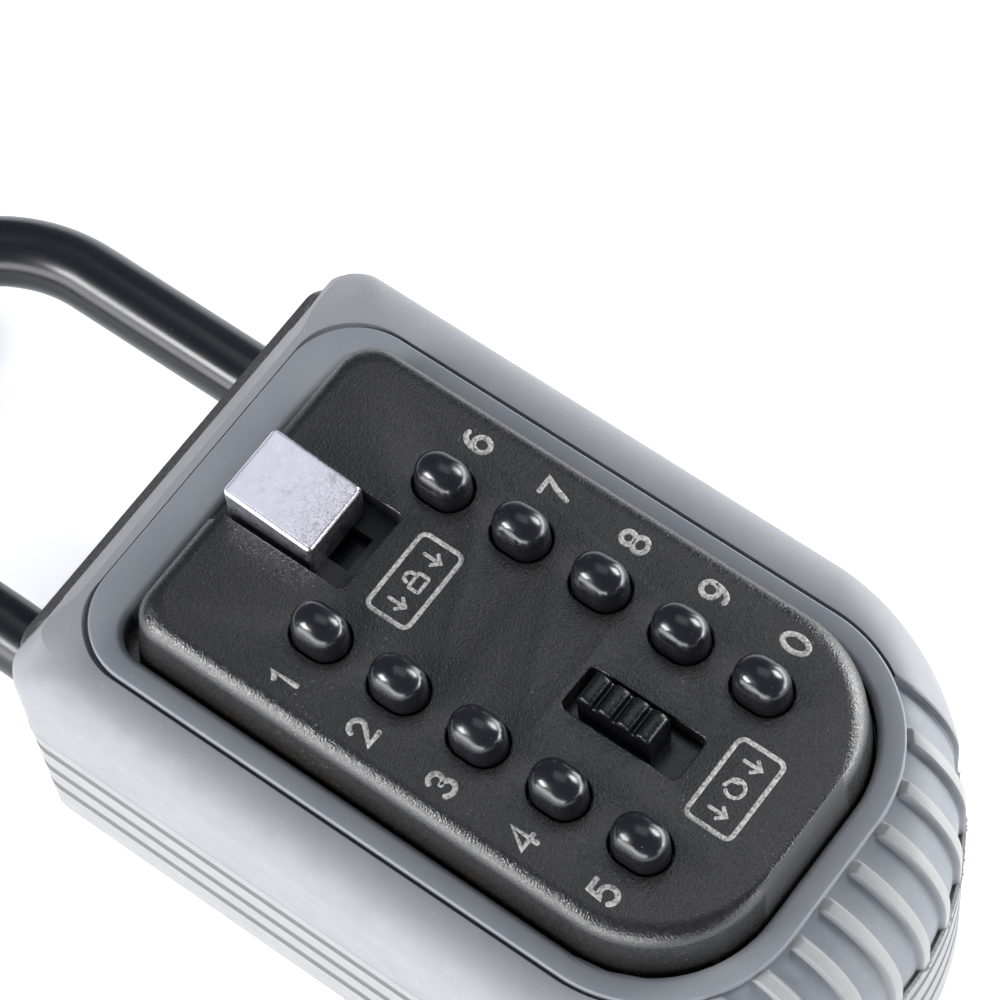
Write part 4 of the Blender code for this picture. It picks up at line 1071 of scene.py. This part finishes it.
def make_dial(digit):
    """Brass code dial: a turned disc with a screwdriver slot and a pointer notch."""
    low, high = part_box("code_dial_%d" % digit)
    x, y = (low.x + high.x) / 2.0, (low.y + high.y) / 2.0
    radius = (high.x - low.x) / 2.0
    rim = radius - 0.08 * MM
    profile = [(low.z, radius - 0.55 * MM), (low.z + 0.15 * MM, radius - 0.35 * MM), (low.z + 0.5 * MM, rim),
               (high.z - 0.2 * MM, rim), (high.z, radius - 0.25 * MM)]
    dial = mesh_object("brass_dial_%d" % digit, *turned((x, y, 0.0), "Z", profile))
    slot = block(x - 0.4 * MM, x + 0.4 * MM, y - 4.0 * MM, y + 4.0 * MM, low.z - 1.0 * MM, low.z + 0.9 * MM)
    mark = column(x + 1.75 * MM, y, low.z - 1.0 * MM, low.z + 0.35 * MM, 0.35 * MM, 16)
    carved(dial, [("DIFFERENCE", slot), ("DIFFERENCE", mark)])
    placed(dial, "button_%d" % digit, BRASS, ["code_dial_%d" % digit])


# ---- lever and slider ----------------------------------------------------------------------------
def make_lever():
    """The nickel thumb block, its top sloping up towards the shackle, its stem and its slot's shield."""
    low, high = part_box("open_lever")
    half = high.x
    front_y, back_y = 30.85 * MM, high.y + 0.35 * MM
    front_top, back_top = 53.1 * MM, high.z
    slope = (back_top - front_top) / (back_y - front_y)
    lift = POCKET_FLOOR_Z + 0.2 * MM

    def ring(inset, corner, height):
        points = []
        for x, y, _ in rounded(-half + inset, half - inset, front_y + inset, back_y - inset, corner, 0.0, 5):
            z = height if height is not None else 0.0
            points.append((x, y, z))
        return points

    def top_ring(inset, corner, below):
        return [(x, y, front_top + slope * (y - front_y) - below) for x, y, _ in ring(inset, corner, None)]

    bevel = 0.36 * MM
    corner = 0.75 * MM
    rings = [ring(0.25 * MM, corner, lift), ring(0.0, corner, lift + 0.25 * MM)]
    rings.append(top_ring(0.0, corner, bevel + 0.20 * MM))
    rings.append(top_ring(0.02 * MM, corner, bevel + 0.07 * MM))
    rings.append(top_ring(0.07 * MM, corner, bevel - 0.06 * MM))
    rings.append(top_ring(bevel - 0.08 * MM, corner - 0.3 * MM, 0.06 * MM))
    rings.append(top_ring(bevel + 0.02 * MM, corner - 0.35 * MM, 0.01 * MM))
    rings.append(top_ring(bevel + 0.06 * MM, corner - 0.35 * MM, 0.09 * MM))
    rings.append(top_ring(bevel + 0.16 * MM, corner - 0.40 * MM, 0.09 * MM))
    rings.append(top_ring(bevel + 0.22 * MM, corner - 0.45 * MM, 0.0))
    lever = mesh_object("lever_block", *loft(rings), sharp=16.0)
    stem = block(-2.2 * MM, 2.2 * MM, 33.0 * MM, 39.0 * MM, low.z, 48.0 * MM)
    carved(lever, [("UNION", stem)], 16.0)
    placed(lever, "open_lever", NICKEL, ["open_lever"])
    plate = block(-3.6 * MM, 3.6 * MM, 27.3 * MM, 39.0 * MM, 43.8 * MM, 44.4 * MM)
    strip = mesh_object("slot_shield", *plate)
    bevelled(strip, 0.12 * MM, 2)
    placed(strip, "open_lever", COATED)


def make_slider():
    """The clear slider: a thumb block with rounded, worn ridges on a flat foot."""
    low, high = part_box("clear_slider")
    half = 2.15 * MM
    y0, y1 = -17.85 * MM, -7.1 * MM
    foot_top = FACE_BACK_Z - 0.3 * MM
    ridges = 4
    pitch = (y1 - y0) / (ridges - 0.20)
    profile = slider_profile(y0, y1, high.z, ridges, pitch)
    sections = []
    across = [(-1.0, 1.0), (-0.985, 0.35), (-0.93, 0.12), (-0.82, 0.02), (-0.6, 0.0), (0.0, 0.0),
              (0.6, 0.0), (0.82, 0.02), (0.93, 0.12), (0.985, 0.35), (1.0, 1.0)]
    for x_share, fall in across:
        section = [(half * x_share, y, z - 0.9 * MM * fall * top) for y, z, top in profile]
        sections.append(section)
    slider = mesh_object("slider_grip", *loft(sections), sharp=50.0)
    foot = loft([rounded(-4.4 * MM, 4.4 * MM, low.y, high.y, 0.8 * MM, z)
                 for z in (foot_top - 2.0 * MM, foot_top)])
    lug = block(-2.0 * MM, 2.0 * MM, low.y + 0.1 * MM, low.y + 1.6 * MM, low.z, foot_top - 1.0 * MM)
    carved(slider, [("UNION", foot), ("UNION", lug)], 50.0)
    mark_raised(slider, lambda point: smooth(point.z, high.z - 0.6 * MM, high.z - 0.1 * MM))
    placed(slider, "clear_slider", SLIDER_PLASTIC, ["clear_slider"])


def slider_profile(y0, y1, top, ridges, pitch):
    """(y, z, 1 if the point may fall at the sides) along the block, from its foot over the ridges."""
    ridge = pitch * 0.80
    soft = 0.85 * MM
    bottom = 46.0 * MM
    valley = top - 0.85 * MM
    points = [(y1, bottom, 0.0), (y1, top - 1.3 * MM, 0.0)]
    for k in range(ridges):
        start = y1 - pitch * k
        end = start - ridge
        for step in range(5):
            angle = math.pi / 2.0 * step / 4
            points.append((start - soft * (1.0 - math.cos(angle)), top - soft * (1.0 - math.sin(angle)), 1.0))
        points.append((start - ridge / 2.0, top, 1.0))
        end_soft = 1.1 * MM if k == ridges - 1 else soft
        for step in range(5):
            angle = math.pi / 2.0 * step / 4
            y = end + end_soft * (1.0 - math.sin(angle))
            points.append((y, top - end_soft * (1.0 - math.cos(angle)), 1.0))
        if k < ridges - 1:
            points.append((end - 0.10 * MM, valley + 0.08 * MM, 0.6))
            points.append((end - 0.20 * MM, valley, 0.5))
            points.append((start - pitch + 0.20 * MM, valley, 0.5))
            points.append((start - pitch + 0.10 * MM, valley + 0.08 * MM, 0.6))
    points += [(y0, top - 1.3 * MM, 0.0), (y0, bottom, 0.0)]
    return points


# ---- springs, screws and sheet metal -------------------------------------------------------------
def make_spring(node, body, axis, radius, wire, turns):
    """Close-wound end coils and open turns between them, as a swept wire.
    """
    low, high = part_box(node)
    along = {"X": 0, "Y": 1, "Z": 2}[axis]
    centre = (low + high) / 2.0
    start, end = low[along] + wire, high[along] - wire
    dead = 0.9
    total = turns + 2.0 * dead
    steps = int(total * 20)
    pitch_dead = wire * 2.05
    rings = []
    for i in range(steps + 1):
        turn = total * i / steps
        if turn < dead:
            offset = pitch_dead * turn
        elif turn > total - dead:
            offset = (end - start) - pitch_dead * (total - turn)
        else:
            offset = mix(pitch_dead * dead, end - start - pitch_dead * dead, (turn - dead) / turns)
        angle = 2.0 * math.pi * turn
        ring = []
        for k in range(8):
            around = 2.0 * math.pi * k / 8
            distance = radius + wire * math.cos(around)
            a, b = distance * math.cos(angle), distance * math.sin(angle)
            c = start + offset + wire * math.sin(around)
            ring.append({"X": (c, centre.y + a, centre.z + b), "Y": (centre.x + b, c, centre.z + a),
                         "Z": (centre.x + a, centre.y + b, c)}[axis])
        rings.append(ring)
    spring = mesh_object(node + "_wire", *loft(rings))
    placed(spring, body, SPRING_STEEL, [node])
    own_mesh(spring)


def make_screw(node, body, head_down):
    """Pan-head screw with a cross recess; head_down says that the head is the lower end."""
    low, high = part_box(node)
    x, y = (low.x + high.x) / 2.0, (low.y + high.y) / 2.0
    head_r = (high.x - low.x) / 2.0
    sign = 1.0 if head_down else -1.0
    face = low.z if head_down else high.z
    far = high.z if head_down else low.z
    head = 1.1 * MM
    profile = [(face + sign * 0.05 * MM, head_r * 0.45), (face, head_r * 0.5)]
    for k in range(1, 6):
        angle = math.pi / 2.0 * k / 5
        z = face + sign * head * 0.6 * (1.0 - math.cos(angle))
        profile.append((z, mix(head_r * 0.5, head_r, math.sin(angle))))
    profile += [(face + sign * head, head_r), (face + sign * head, 1.0 * MM)]
    turns = int((abs(far - face) - head - 0.4 * MM) / (0.5 * MM))
    for k in range(turns):
        z = face + sign * (head + 0.25 * MM + 0.5 * MM * k)
        profile += [(z, 0.98 * MM), (z + sign * 0.25 * MM, 0.78 * MM)]
    profile += [(far - sign * 0.25 * MM, 0.9 * MM), (far, 0.6 * MM)]
    screw = mesh_object(node + "_turned", *turned((x, y, 0.0), "Z", profile, 32))
    cross = []
    for wide, long in ((0.28, 1.15), (1.15, 0.28)):
        z0, z1 = sorted((face - sign * 1.0 * MM, face + sign * 0.75 * MM))
        bar = block(x - wide * MM, x + wide * MM, y - long * MM, y + long * MM, z0, z1)
        cross.append(("DIFFERENCE", bar))
    carved(screw, cross)
    placed(screw, body, TURNED_STEEL, [node])


def soften_sheet(node, body, width):
    """A copy of a sheet-metal node with broken edges."""
    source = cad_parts[node]
    item = bpy.data.objects.new(node + "_sheet", source.data.copy())
    bpy.context.scene.collection.objects.link(item)
    tidy = bmesh.new()
    tidy.from_mesh(item.data)
    bmesh.ops.remove_doubles(tidy, verts=tidy.verts, dist=0.005 * MM)
    bmesh.ops.dissolve_limit(tidy, angle_limit=math.radians(1.0), verts=tidy.verts, edges=tidy.edges)
    tidy.to_mesh(item.data)
    tidy.free()
    bevelled(item, width, 2)
    placed(item, body, SHEET_STEEL, [node])


def make_inside():
    for digit in DIGITS:
        make_spring("button_spring_%d" % digit, "cover", "Z", 2.3 * MM, 0.26 * MM, 3.5)
        make_dial(digit)
    make_spring("lever_spring", "cover", "Y", 1.9 * MM, 0.3 * MM, 5.0)
    make_spring("clear_spring", "cover", "Y", 1.6 * MM, 0.26 * MM, 6.0)
    make_spring("shackle_latch_spring", "case", "X", 2.0 * MM, 0.3 * MM, 4.0)
    for number in range(1, 5):
        make_screw("backplate_screw_%d" % number, "cover", True)
    for number in range(1, 3):
        make_screw("latch_bridge_screw_%d" % number, "case", False)
    soften_sheet("mechanism_backplate", "cover", 0.18 * MM)
    soften_sheet("gate_plate", "open_lever", 0.12 * MM)
    soften_sheet("latch_bolt", "open_lever", 0.25 * MM)
    soften_sheet("latch_bridge", "case", 0.2 * MM)
    soften_sheet("shackle_release_latch", "shackle_latch", 0.25 * MM)
    soften_sheet("shackle_retaining_pin", "case", 0.2 * MM)


# ---- studio and camera ---------------------------------------------------------------------------
def area_light(name, place, size, power, target=(0.0, 0.02, 0.03), colour=(1.0, 1.0, 1.0)):
    data = bpy.data.lights.new(name, "AREA")
    data.shape = "RECTANGLE"
    data.size, data.size_y = size
    data.energy = power
    data.color = colour
    lamp = bpy.data.objects.new(name, data)
    lamp.location = place
    aim = Vector(target) - Vector(place)
    back = -aim.normalized()
    along = Vector((0.0, 0.0, 1.0)).cross(back).normalized()
    lamp.rotation_euler = Matrix((along, back.cross(along), back)).transposed().to_euler()
    lamp.visible_camera = False
    bpy.context.scene.collection.objects.link(lamp)


def make_studio():
    floor = mesh_object("studio_floor", *block(-6.0, 6.0, -6.0, 6.0, -0.05, -0.0002))
    paint = Paint("pale_floor", (0.92, 0.93, 0.94), 0.65)
    paint.colour(paint.ramp(paint.noise(0.6, 1.0), [(0.3, (0.905, 0.915, 0.93)), (0.7, (0.93, 0.935, 0.94))]))
    paint.shader.inputs["Specular IOR Level"].default_value = 0.2
    paint.shader.inputs["Emission Color"].default_value = (0.97, 0.98, 1.0, 1.0)
    paint.shader.inputs["Emission Strength"].default_value = 0.42
    floor.data.materials.append(paint.material)
    world = bpy.data.worlds.new("studio_world")
    world.use_nodes = True
    world.node_tree.nodes["Background"].inputs["Color"].default_value = (0.80, 0.93, 1.25, 1.0)
    world.node_tree.nodes["Background"].inputs["Strength"].default_value = 0.16
    bpy.context.scene.world = world
    area_light("left_wall", (-0.90, 0.05, 0.19), (1.6, 0.36), 13.0)
    area_light("right_wall", (0.80, -0.50, 0.17), (1.25, 0.32), 11.5)
    area_light("front_wall", (0.30, -0.95, 0.14), (0.9, 0.26), 3.0)
    area_light("left_strip", (-0.56, 0.46, 0.48), (0.36, 0.15), 5.2)
    area_light("right_strip", (0.74, -0.27, 0.54), (0.34, 0.26), 5.2)
    area_light("top_box", (0.38, 0.15, 1.10), (0.7, 0.7), 1.4)
    bpy.context.scene.view_settings.view_transform = "Standard"
    bpy.context.scene.view_settings.look = "None"


def make_camera():
    """The camera looks down over the near left corner of the lying box, rolled clockwise."""
    data = bpy.data.cameras.new("camera")
    data.lens = 158.7
    data.sensor_width = 36.0
    data.clip_start = 0.05
    data.clip_end = 20.0
    camera = bpy.data.objects.new("camera", data)
    camera.location = (-0.1616, -0.1537, 0.5340)
    target = Vector((0.01480, 0.01710, PLATE_Z))
    look = (target - camera.location).to_track_quat("-Z", "Y").to_matrix()
    roll = Matrix.Rotation(math.radians(-8.3), 3, "Z")
    camera.rotation_euler = (look @ roll).to_euler()
    bpy.context.scene.collection.objects.link(camera)
    bpy.context.scene.camera = camera


make_camera()
make_studio()
make_boot()
make_flash()
make_case()
make_shackle()
make_cover()
make_markings()
for number in DIGITS:
    make_button(number)
make_lever()
make_slider()
make_inside()
